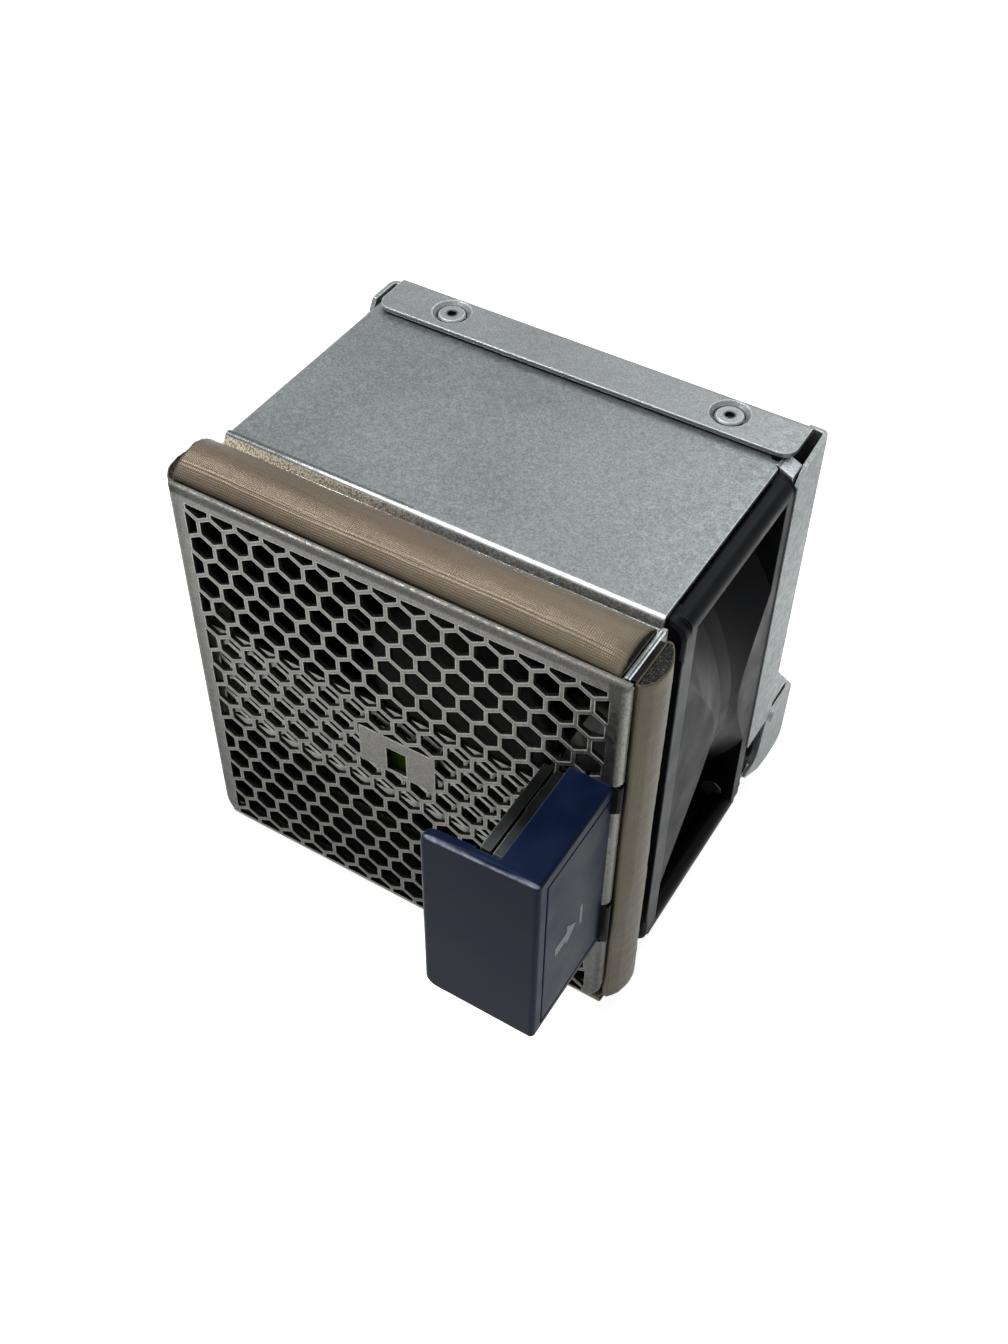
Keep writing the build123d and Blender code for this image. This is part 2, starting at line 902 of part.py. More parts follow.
def make_impeller():
    """Hub cup with a shaft boss and a ring of swept blades."""
    front = hub_front
    rear = front + hub_depth
    boss_end = front + hub_wall + boss_depth
    hub = turned(
        [
            (0, front),
            (hub_radius, front),
            (hub_radius, rear),
            (hub_inner, rear),
            (hub_inner, front + hub_wall),
            (boss_radius, front + hub_wall),
            (boss_radius, boss_end),
            (shaft_radius + fit_gap, boss_end),
            (shaft_radius + fit_gap, front + hub_wall),
            (0, front + hub_wall),
        ]
    )
    nose = hub.faces().sort_by(Axis.Y)[0].edges()
    hub = fillet(nose, hub_nose_radius)
    middle = front + hub_depth / 2
    ring = rod_y(0, axis_z, tip_radius, front, rear)
    ring -= rod_y(0, axis_z, hub_radius - 0.5, front - 1, rear + 1)
    wing = Pos(0, middle, 0) * Rot(-90, 0, 0) * blade()
    fan = hub
    for turn in range(blade_count):
        angle = 360 * turn / blade_count
        placed = Pos(0, 0, axis_z) * Rot(0, angle, 0) * wing
        fan += placed & ring
    return fan


def make_rotor_yoke():
    """Steel cup that lines the hub."""
    front = hub_front + hub_wall + seat_gap
    outer = hub_inner - seat_gap
    return turned(
        [
            (boss_radius + seat_gap, front),
            (outer, front),
            (outer, front + yoke_depth),
            (outer - yoke_wall, front + yoke_depth),
            (outer - yoke_wall, front + yoke_wall),
            (boss_radius + seat_gap, front + yoke_wall),
        ]
    )


def magnet_outer():
    """Outer radius of the ring magnet."""
    return hub_inner - 2 * seat_gap - yoke_wall


def magnet_middle():
    """Place of the magnet's middle along the axis."""
    return hub_front + hub_wall + seat_gap + yoke_depth - magnet_depth / 2 - magnet_setback


def make_rotor_magnet():
    """Ring magnet inside the yoke."""
    outer = magnet_outer()
    half = magnet_depth / 2
    middle = magnet_middle()
    ring = rod_y(0, axis_z, outer, middle - half, middle + half)
    return ring - rod_y(0, axis_z, outer - magnet_thickness, middle - half, middle + half)


def make_rotor_shaft():
    """Shaft from the hub boss to the rear bearing."""
    front = hub_front + hub_wall
    return rod_y(0, axis_z, shaft_radius, front, tube_rear - shaft_end_gap)


def make_bearing_tube():
    """Tube that holds both bearings and carries the stator."""
    tube = rod_y(0, axis_z, tube_radius, tube_front, tube_rear)
    return tube - rod_y(0, axis_z, tube_radius - tube_wall, tube_front, tube_rear)


def make_bearing(y):
    """A ball bearing, as one closed ring."""
    outer = tube_radius - tube_wall - fit_gap
    ring = rod_y(0, axis_z, outer, y, y + bearing_width)
    return ring - rod_y(0, axis_z, shaft_radius + fit_gap, y, y + bearing_width)


def make_stator_core():
    """Laminated core with T-shaped poles."""
    half = stator_depth / 2
    y0 = magnet_middle() - half
    y1 = magnet_middle() + half
    outer = magnet_outer() - magnet_thickness - air_gap
    core = rod_y(0, axis_z, stator_back_radius, y0, y1)
    rim = rod_y(0, axis_z, outer, y0, y1) - rod_y(0, axis_z, outer - pole_shoe, y0, y1)
    step = 360 / pole_count
    for pole in range(pole_count):
        rim -= radial_bar(step * (pole + 0.5), pole_opening, 0, outer + 1, y0, y1)
    for pole in range(pole_count):
        core += radial_bar(step * pole, pole_width, 0, outer - pole_shoe / 2, y0, y1)
    core += rim
    return core - rod_y(0, axis_z, tube_radius + fit_gap, y0, y1)


def make_stator_coils():
    """One winding round each pole."""
    half = stator_depth / 2 + coil_end
    y0 = magnet_middle() - half
    y1 = magnet_middle() + half
    shoe_radius = magnet_outer() - magnet_thickness - air_gap - pole_shoe
    width = pole_width + 2 * seat_gap
    outer = sqrt(shoe_radius**2 - (width / 2 + coil_build) ** 2) - seat_gap
    inner = stator_back_radius + seat_gap
    step = 360 / pole_count
    coils = []
    for pole in range(pole_count):
        coil = radial_bar(step * pole, width + 2 * coil_build, inner, outer, y0, y1)
        gap_front = y0 + coil_end - seat_gap
        gap_rear = y1 - coil_end + seat_gap
        coil -= radial_bar(step * pole, width, inner - 1, outer + 1, gap_front, gap_rear)
        coils.append(coil)
    return Compound(children=coils)


def make_motor_board():
    """Round driver board on the posts of the motor base."""
    rear = base_front - board_gap
    board = rod_y(0, axis_z, board_radius, plate_front, rear)
    return board - rod_y(0, axis_z, tube_radius + seat_gap, plate_front, rear)


def lead_path():
    """Route of the fan lead: along the strut, then back into the connector."""
    ux, uz = lead_direction()
    y = fan_rear - lead_radius - seat_gap
    reach = hypot(plug_x, axis_z - plug_z)
    points = []
    for radius, depth in (
        (lead_start, y),
        (lead_bend_start, y),
        (reach, y + lead_bend_end),
        (reach, plug_front),
    ):
        points.append(Vector(ux * radius, depth, axis_z + uz * radius))
    return points


def lead_radii(points):
    """Each bend as large as its shorter run allows."""
    radii = []
    for before, at, after in zip(points, points[1:], points[2:]):
        run_in = at - before
        run_out = after - at
        turn = radians(run_in.get_angle(run_out))
        radii.append(lead_bend_share * min(run_in.length, run_out.length) / tan(turn / 2))
    return radii


def make_fan_lead():
    """The bundled lead from the motor board to the connector."""
    points = lead_path()
    radii = lead_radii(points)
    route = FilletPolyline(*points, radius=radii)
    section = Plane(origin=route @ 0, z_dir=route % 0) * Circle(lead_radius)
    lead = sweep(section, path=route)
    area = pi * lead_radius**2
    print("fan lead radii", [round(r, 2) for r in radii])
    print("fan lead length", round(route.length, 2), "by volume", round(lead.volume / area, 2))
    return lead


def make_connector_housing():
    """Blind-mate shell that stands through the back panel."""
    half_w = plug_width / 2
    half_h = plug_height / 2
    shell = block(
        plug_x - half_w, plug_x + half_w, plug_front, plug_rear,
        plug_z - half_h, plug_z + half_h,
    )
    rear_edges = shell.faces().sort_by(Axis.Y)[-1].edges()
    shell = chamfer(rear_edges, plug_chamfer)
    panel_front = bracket_rear - bracket_sheet
    wide = plug_gap + plug_flange
    shell += block(
        plug_x - half_w - wide, plug_x + half_w + plug_gap,
        panel_front - plug_flange, panel_front,
        plug_z - half_h - plug_gap, plug_z + half_h + wide,
    )
    shell -= block(
        plug_x - half_w + plug_wall, plug_x + half_w - plug_wall,
        plug_front + contact_back, plug_rear + 1,
        plug_z - half_h + plug_wall, plug_z + half_h - plug_wall,
    )
    return shell


def make_connector_contacts():
    """Two columns of blade contacts standing on the connector's floor."""
    blades = []
    start = plug_z - contact_pitch * (contact_rows - 1) / 2
    half = contact_width / 2
    for row in range(contact_rows):
        z = start + contact_pitch * row
        for side in (-1, 1):
            x = plug_x + side * contact_pitch / 2
            blades.append(
                block(
                    x - half, x + half, plug_front + contact_back,
                    plug_rear - contact_reach, z - half, z + half,
                )
            )
    return Compound(children=blades)


def cushion(width, height, side, inset):
    """D-shaped gasket section on its flat base, or its core when inset."""
    half = width / 2 - inset
    top = height - inset
    wall = max(side - inset, 0.1)
    with BuildSketch() as section:
        with BuildLine():
            Line((-half, inset), (half, inset))
            Line((half, inset), (half, inset + wall))
            ThreePointArc((half, inset + wall), (0, top), (-half, inset + wall))
            Line((-half, inset + wall), (-half, inset))
        make_face()
    return section.sketch


def pressed_cushion(width, height, inset):
    """Gasket section pressed flat by the surface that it rests on."""
    radius = height * pressed_corner - inset
    outline = rectangle(-width / 2 + inset, width / 2 - inset, inset, height - inset)
    crown = outline.vertices().sort_by(Axis.Y)[-2:]
    return fillet(crown, radius)


def gasket_pair(section, core, plane, start, length):
    """The cloth and the core of one gasket, pulled along its plane's normal."""
    cloth_shape = extrude(plane * Pos(0, 0, start) * section, length)
    cloth_shape -= extrude(plane * Pos(0, 0, start - 1) * core[0], length + 2)
    foam = extrude(plane * Pos(0, 0, start + seat_gap) * core[1], length - 2 * seat_gap)
    return cloth_shape, foam


def sections(width, height, side):
    """Outer section, cavity and core of a free gasket."""
    outer = cushion(width, height, side, 0)
    cavity = cushion(width, height, side, cloth)
    core = cushion(width, height, side, cloth + core_gap)
    return outer, (cavity, core)


def make_gaskets():
    """Four gaskets: roof, floor, right side and left side."""
    middle = (gasket_front + gasket_rear) / 2
    width = gasket_rear - gasket_front
    outer, core = sections(width, gasket_height, gasket_side)
    roof = Plane(origin=(0, middle, strip_top + top_tape), x_dir=(0, 1, 0), z_dir=(1, 0, 0))
    length = gasket_right_end - gasket_left
    pieces = {"top": gasket_pair(outer, core, roof, gasket_left, length)}

    height = strip_bottom - top_tape
    outer = pressed_cushion(width, height, 0)
    core = (
        pressed_cushion(width, height, cloth),
        pressed_cushion(width, height, cloth + core_gap),
    )
    floor = Plane(origin=(0, middle, height), x_dir=(0, -1, 0), z_dir=(1, 0, 0))
    length = floor_gasket_right - gasket_left
    pieces["bottom"] = gasket_pair(outer, core, floor, gasket_left, length)

    middle = (side_gasket_front + side_gasket_rear) / 2
    width = side_gasket_rear - side_gasket_front
    outer, core = sections(width, side_gasket_height, gasket_side)
    seat = carrier_inner + sheet + side_tape
    right = Plane(origin=(seat, middle, 0), x_dir=(0, -1, 0), z_dir=(0, 0, 1))
    length = side_gasket_top - side_gasket_bottom
    pieces["right"] = gasket_pair(outer, core, right, side_gasket_bottom, length)
    seat = shell_left - left_tape
    left = Plane(origin=(seat, middle, 0), x_dir=(0, 1, 0), z_dir=(0, 0, 1))
    pieces["left"] = gasket_pair(outer, core, left, side_gasket_bottom, length)
    return pieces


def make_gasket_tapes():
    """Adhesive strips between the gaskets and the sheet."""
    front = gasket_front + tape_margin
    rear = gasket_rear - tape_margin
    low_front = bottom_lip_depth + lap_gap
    left = shell_left
    tapes = [
        block(left, gasket_right_end, front, rear, strip_top, strip_top + top_tape),
        block(left, shell_right, low_front, rear, strip_bottom - top_tape, strip_bottom),
    ]
    front = side_gasket_front + tape_margin
    rear = side_gasket_rear - tape_margin
    web = carrier_inner + sheet
    bottom = side_gasket_bottom
    top = side_gasket_top
    tapes.append(block(web, web + side_tape, front, rear, bottom, top))
    tapes.append(block(left - left_tape, left, front, rear, bottom, top))
    return Compound(children=tapes)


def handle_groove():
    """Shallow groove round the panel on the handle's right side."""
    y0 = handle_front + groove_front
    z0 = handle_bottom + groove_bottom
    z1 = handle_top - groove_top
    ring = rectangle(y0, 1, z0, z1)
    ring -= rectangle(y0 + groove_width, 2, z0 + groove_width, z1 - groove_width)
    return along_x(ring, handle_right - groove_depth, handle_right + 1)


def make_handle_body():
    """Pull handle: a front plate on a hollow block, with the lever pocket."""
    outline = Polygon(
        (handle_left, handle_bottom),
        (handle_right, handle_bottom),
        (handle_right, handle_top),
        (handle_block_left, handle_top),
        (handle_left, handle_top - handle_top_drop),
        align=None,
    )
    left_corners = outline.vertices().sort_by(Axis.X)[:2]
    outline = fillet(left_corners, handle_corner)
    plate = along_y(outline, handle_front, handle_front + handle_plate)
    rear_edges = plate.faces().sort_by(Axis.Y)[-1].edges()
    plate = fillet(rear_edges, handle_rear_edge)
    plate += block(
        handle_block_left, handle_right, handle_front + handle_plate / 2, 0,
        handle_bottom, handle_top,
    )
    right_edges = plate.edges().filter_by(Axis.Y).group_by(Axis.X)[-1]
    plate = fillet(right_edges, handle_edge)
    front = plate.faces().sort_by(Axis.Y)[0].edges()
    body = fillet(front, handle_edge)

    inner_right = handle_right - handle_side_wall
    roof = handle_top - handle_roof
    floor = handle_bottom + handle_floor
    inner_front = handle_front + handle_plate
    body -= block(handle_block_left - 1, inner_right, inner_front, 1, floor, roof)
    slot_left = lever_left - lever_clearance
    low = lever_bottom - lever_clearance
    body -= block(slot_left, pocket_right, pocket_front, 1, low, roof)
    slot_right = lever_left + lever_width + lever_clearance / 2
    body -= block(slot_left, slot_right, pocket_front, 1, roof - 1, handle_top + 1)
    for z in handle_screw_z:
        boss = rod_y(handle_screw_x, z, handle_boss_radius, -handle_boss_depth, 0)
        boss += block(
            handle_screw_x, inner_right, -handle_boss_depth, 0,
            z - handle_boss_radius / 2, z + handle_boss_radius / 2,
        )
        body += boss
        bore_front = handle_bore_end - handle_boss_depth
        body -= rod_y(handle_screw_x, z, screw_radius + fit_gap, bore_front, 1)
    pin_top = roof + handle_roof / 2
    reach = pin_top - handle_bottom + 1
    hole = Cylinder(pin_radius + fit_gap, reach)
    body -= Pos(pin_x, pin_y, handle_bottom - 1 + reach / 2) * hole
    return body - handle_groove()


def make_handle_screws():
    """Two screws from behind the faceplate into the handle bosses."""
    screws = []
    for z in handle_screw_z:
        x = handle_screw_x
        front = handle_bore_end + handle_screw_gap - handle_boss_depth
        shank = rod_y(x, z, screw_radius, front, sheet)
        head = rod_y(x, z, screw_head_radius, sheet, sheet + screw_head)
        screws.append(shank + head)
    return Compound(children=screws)


def make_release_lever():
    """Squeeze lever: grip with two leaves, two knuckles and hooked arms."""
    right = lever_left + lever_width
    split = lever_left + lever_width / 2
    grip = block(lever_left, split, lever_front, lever_rear, lever_bottom, lever_top)
    drop = lever_top - lever_leaf_drop
    grip += block(split, right, lever_front, lever_rear, lever_bottom, drop)
    half = lever_groove / 2
    front_edges = grip.edges().filter_by(Axis.X).group_by(Axis.Y)[0]
    grip = fillet(front_edges.sort_by(Axis.Z)[-2:], lever_edge)
    grip -= block(
        split - half, split + half, lever_front - 1, lever_rear + 1,
        drop - lever_groove_depth, lever_top + 1,
    )
    floor = handle_bottom + handle_floor + lever_clearance
    roof = handle_top - handle_roof - lever_clearance
    levels = (
        (upper_slot_bottom, upper_slot_top, upper_slot_bottom + 2 * tooth_gap, roof),
        (lower_slot_bottom, lower_slot_top, floor, lower_slot_top - 2 * tooth_gap),
    )
    lever = grip
    for slot_bottom, slot_top, low, high in levels:
        knuckle = Pos(pin_x, pin_y) * Circle(knuckle_radius)
        web = rectangle(split, pin_x, pin_y - knuckle_radius, pin_y + knuckle_radius)
        arm = rectangle(arm_left, arm_right, pin_y, tooth_rear)
        lever += along_z(knuckle + web + arm, low, high)
        tooth = rectangle(pin_x + tooth_gap, tooth_reach, tooth_front, tooth_rear)
        tooth = chamfer(tooth.vertices().sort_by(Axis.X)[-2:], tooth_chamfer)
        lever += along_z(tooth, slot_bottom + tooth_gap, slot_top - tooth_gap)
        bore = Pos(pin_x, pin_y) * Circle(pin_radius + pin_gap)
        lever -= along_z(bore, slot_bottom, slot_top)
    return lever


def make_lever_pin():
    """Pivot pin of the lever, pressed in from below."""
    top = handle_top - handle_roof / 2 - seat_gap
    return along_z(Pos(pin_x, pin_y) * Circle(pin_radius), handle_bottom + 0.2, top)


def make_lever_spring():
    """Hairpin leaf spring with one leg on the lever and one on the wall."""
    left = lever_left + lever_width + fit_gap
    right = handle_right - handle_side_wall - fit_gap
    outer = (right - left) / 2
    middle = (left + right) / 2
    bend = pin_y - knuckle_radius - outer - lever_clearance
    leg = rectangle(left, right, bend - spring_leg, bend)
    leg -= rectangle(left + spring_strip, right - spring_strip, bend - spring_leg, bend)
    ring = Pos(middle, bend) * Circle(outer)
    ring -= Pos(middle, bend) * Circle(outer - spring_strip)
    ring &= rectangle(left, right, bend, bend + outer)
    return along_z(leg + ring, spring_z - spring_width / 2, spring_z + spring_width / 2)


def make_led_bracket():
    """Perforated strip behind the faceplate that carries the lamp board."""
    y0 = lamp_strip_front
    y1 = y0 + lamp_strip_thickness
    inner_wall = shell_left + sheet + seat_gap
    z0 = lamp_strip_bottom
    z1 = lamp_strip_top
    profile = Polygon(
        (inner_wall, lamp_tab_depth + y1),
        (inner_wall, y0),
        (lamp_strip_right, y0),
        (lamp_strip_right, sheet),
        (lamp_foot_right, sheet),
        (lamp_foot_right, sheet + lamp_strip_thickness),
        (lamp_strip_right + lamp_strip_thickness, sheet + lamp_strip_thickness),
        (lamp_strip_right + lamp_strip_thickness, y1),
        (inner_wall + lamp_strip_thickness, y1),
        (inner_wall + lamp_strip_thickness, lamp_tab_depth + y1),
        align=None,
    )
    strip = along_z(profile, z0, z1)
    edge = lamp_strip_margin
    bounds = (inner_wall + 2 * edge, lamp_strip_right - edge, z0 + edge, z1 - edge)
    region = rectangle(*bounds)
    board = Rectangle(lamp_board_width, lamp_board_height)
    region -= Pos(window_x, window_z) * board
    cells = honeycomb(region, lattice_x, lattice_z, bounds, cell_web)
    window = Pos(window_x, window_z) * Rectangle(window_width, window_height)
    cells.append(window.face())
    return strip - [along_y(cell, y0 - 0.5, y1 + 0.5) for cell in cells]


def lamp_board_front():
    """Front face of the lamp board, on the back of the strip."""
    return lamp_strip_front + lamp_strip_thickness


def make_led_board():
    """Small circuit board of the status lamp."""
    board = Pos(window_x, window_z) * Rectangle(lamp_board_width, lamp_board_height)
    front = lamp_board_front()
    return along_y(board, front, front + lamp_board_thickness)


def make_status_led():
    """Surface-mount lamp on the board, behind the window."""
    lamp = Pos(window_x, window_z) * Rectangle(lamp_width, lamp_height)
    front = lamp_board_front()
    return along_y(lamp, front - lamp_rise, front)


def main():
    """Make and write every sub-part."""
    save("faceplate", make_faceplate())
    save("chassis_shell", make_chassis_shell())
    save("gasket_carrier", make_gasket_carrier())
    save("rear_bracket", make_rear_bracket())
    save("cover_rivets", make_cover_rivets())
    save("fan_housing", make_fan_housing())
    save("fan_screws", make_fan_screws())
    save("impeller", make_impeller())
    save("rotor_yoke", make_rotor_yoke())
    save("rotor_magnet", make_rotor_magnet())
    save("rotor_shaft", make_rotor_shaft())
    save("bearing_tube", make_bearing_tube())
    save("front_bearing", make_bearing(tube_front + tube_lead_in))
    save("rear_bearing", make_bearing(tube_rear - bearing_width - 2 * shaft_end_gap))
    save("stator_core", make_stator_core())
    save("stator_coils", make_stator_coils())
    save("motor_board", make_motor_board())
    save("fan_lead", make_fan_lead())
    save("connector_housing", make_connector_housing())
    save("connector_contacts", make_connector_contacts())
    for side, (cloth_shape, foam) in make_gaskets().items():
        save(side + "_gasket_cloth", cloth_shape)
        save(side + "_gasket_foam", foam)
    save("gasket_tapes", make_gasket_tapes())
    save("handle_body", make_handle_body())
    save("handle_screws", make_handle_screws())
    save("release_lever", make_release_lever())
    save("lever_pin", make_lever_pin())
    save("lever_spring", make_lever_spring())
    save("led_bracket", make_led_bracket())
    save("led_board", make_led_board())
    save("status_led", make_status_led())


main()
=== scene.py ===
from math import sqrt

import bmesh
import bpy
from mathutils import Matrix, Vector, noise


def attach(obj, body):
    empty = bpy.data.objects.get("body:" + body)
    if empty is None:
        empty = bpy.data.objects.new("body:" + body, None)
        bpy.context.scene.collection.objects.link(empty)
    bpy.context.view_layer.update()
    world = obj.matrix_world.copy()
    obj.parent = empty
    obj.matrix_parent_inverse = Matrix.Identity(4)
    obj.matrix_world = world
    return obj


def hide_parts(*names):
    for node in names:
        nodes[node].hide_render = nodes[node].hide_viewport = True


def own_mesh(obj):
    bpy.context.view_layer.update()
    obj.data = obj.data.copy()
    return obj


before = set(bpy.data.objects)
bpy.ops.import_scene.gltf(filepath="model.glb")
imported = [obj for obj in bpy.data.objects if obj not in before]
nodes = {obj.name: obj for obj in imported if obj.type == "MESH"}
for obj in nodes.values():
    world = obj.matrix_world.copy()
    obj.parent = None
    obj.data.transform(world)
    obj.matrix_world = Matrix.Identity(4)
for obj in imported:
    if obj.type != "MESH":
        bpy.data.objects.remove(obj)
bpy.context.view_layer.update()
MM = 0.001


# Camera, light and floor

FILM_WIDTH = 36.0
FOCAL_PIXELS = 1559.78
PHOTO_HEIGHT = 1344
NEAREST_SEEN = 0.01
CAMERA_PLACE = (0.095421, -0.129051, 0.237527)
CAMERA_SIDE = Vector((0.85492, 0.518628, 0.011729))
CAMERA_UP = Vector((-0.387492, 0.623392, 0.679142))
LAMP_AIM = Vector((0.0, 0.03, 0.045))
WORLD_LIGHT = 0.06
WORLD_SEEN = 1.0
FLOOR_GLOW = 0.92
FLOOR_REACH = 4.0

# Name, place, size and power of each lamp
LAMPS = (
    ("key_lamp", (-0.25, -0.05, 0.6), 0.15, 2.6),
    ("rear_lamp", (0.0, 0.5, 0.6), 0.3, 1.2),
    ("front_lamp", (-0.1, -0.7, 0.3), 0.4, 0.25),
)


def make_camera():
    """Camera at the photograph's place, with its focal length."""
    data = bpy.data.cameras.new("camera")
    data.sensor_width = FILM_WIDTH
    data.lens = FILM_WIDTH * FOCAL_PIXELS / PHOTO_HEIGHT
    data.clip_start = NEAREST_SEEN
    camera = bpy.data.objects.new("camera", data)
    bpy.context.scene.collection.objects.link(camera)
    back = CAMERA_SIDE.cross(CAMERA_UP)
    turn = Matrix((CAMERA_SIDE, CAMERA_UP, back)).transposed()
    camera.matrix_world = Matrix.Translation(CAMERA_PLACE) @ turn.to_4x4()
    bpy.context.scene.camera = camera


def make_lamp(name, place, size, power):
    """A square soft lamp that points at the middle of the object."""
    data = bpy.data.lights.new(name, "AREA")
    data.size = size
    data.energy = power
    lamp = bpy.data.objects.new(name, data)
    bpy.context.scene.collection.objects.link(lamp)
    lamp.location = place
    aim = LAMP_AIM - Vector(place)
    lamp.rotation_euler = aim.to_track_quat("-Z", "Y").to_euler()


def seen_directly(tree):
    """Light Path's camera, glossy and transmission rays, added."""
    path = tree.nodes.new("ShaderNodeLightPath")
    total = path.outputs["Is Camera Ray"]
    for ray in ("Is Glossy Ray", "Is Transmission Ray"):
        add = tree.nodes.new("ShaderNodeMath")
        add.operation = "ADD"
        add.use_clamp = True
        tree.links.new(total, add.inputs[0])
        tree.links.new(path.outputs[ray], add.inputs[1])
        total = add.outputs[0]
    return total


def make_world():
    """White where it is seen or mirrored, soft grey light otherwise."""
    world = bpy.data.worlds.new("studio")
    bpy.context.scene.world = world
    world.use_nodes = True
    tree = world.node_tree
    background = tree.nodes["Background"]
    background.inputs["Color"].default_value = (1.0, 1.0, 1.0, 1.0)
    strength = tree.nodes.new("ShaderNodeMapRange")
    strength.inputs["To Min"].default_value = WORLD_LIGHT
    strength.inputs["To Max"].default_value = WORLD_SEEN
    tree.links.new(seen_directly(tree), strength.inputs["Value"])
    tree.links.new(strength.outputs["Result"], background.inputs["Strength"])


def make_floor():
    """Plain white floor that keeps a soft shadow."""
    material = bpy.data.materials.new("studio_floor")
    material.use_nodes = True
    tree = material.node_tree
    bsdf = tree.nodes["Principled BSDF"]
    bsdf.inputs["Base Color"].default_value = (0.9, 0.9, 0.9, 1.0)
    bsdf.inputs["Roughness"].default_value = 0.9
    bsdf.inputs["Specular IOR Level"].default_value = 0.0
    bsdf.inputs["Emission Color"].default_value = (1.0, 1.0, 1.0, 1.0)
    glow = tree.nodes.new("ShaderNodeMapRange")
    glow.inputs["To Min"].default_value = 0.0
    glow.inputs["To Max"].default_value = FLOOR_GLOW
    tree.links.new(seen_directly(tree), glow.inputs["Value"])
    tree.links.new(glow.outputs["Result"], bsdf.inputs["Emission Strength"])
    bm = bmesh.new()
    bmesh.ops.create_grid(bm, x_segments=1, y_segments=1, size=FLOOR_REACH)
    floor = mesh_object("studio_floor", bm, material)


# Small helpers for pieces

def mesh_object(name, bm, material, smooth=False):
    """Turn a bmesh into an object at the origin."""
    for face in bm.faces:
        face.smooth = smooth
    mesh = bpy.data.meshes.new(name)
    bm.to_mesh(mesh)
    bm.free()
    mesh.materials.append(material)
    piece = bpy.data.objects.new(name, mesh)
    bpy.context.scene.collection.objects.link(piece)
    return piece


def verts_of(result):
    """The vertices in an operator's result."""
    return [part for part in result["geom"] if isinstance(part, bmesh.types.BMVert)]


def outward(bm):
    """Merge doubles and turn all faces outwards."""
    bmesh.ops.remove_doubles(bm, verts=bm.verts, dist=1e-7)
    bmesh.ops.recalc_face_normals(bm, faces=bm.faces)


# Finishes

# A wave texture of scale 1 repeats after this length
WAVE_LENGTH = 0.314
# Places of a Mix node's colour sockets
FIRST_COLOUR, SECOND_COLOUR, MIXED_COLOUR = 6, 7, 2
BEVEL_SAMPLES = 4
# Darkest and palest share of a zinc sheet's tone, from crystal to crystal and smear to smear
ZINC_SHADES = (0.93, 1.05)
# Ways in which fine lines are drawn out on turned and ground metal
ALONG_Y = (1, 0.1, 1)
ALONG_Z = (1, 1, 0.1)
ROUND_Y = (0.1, 1, 0.1)


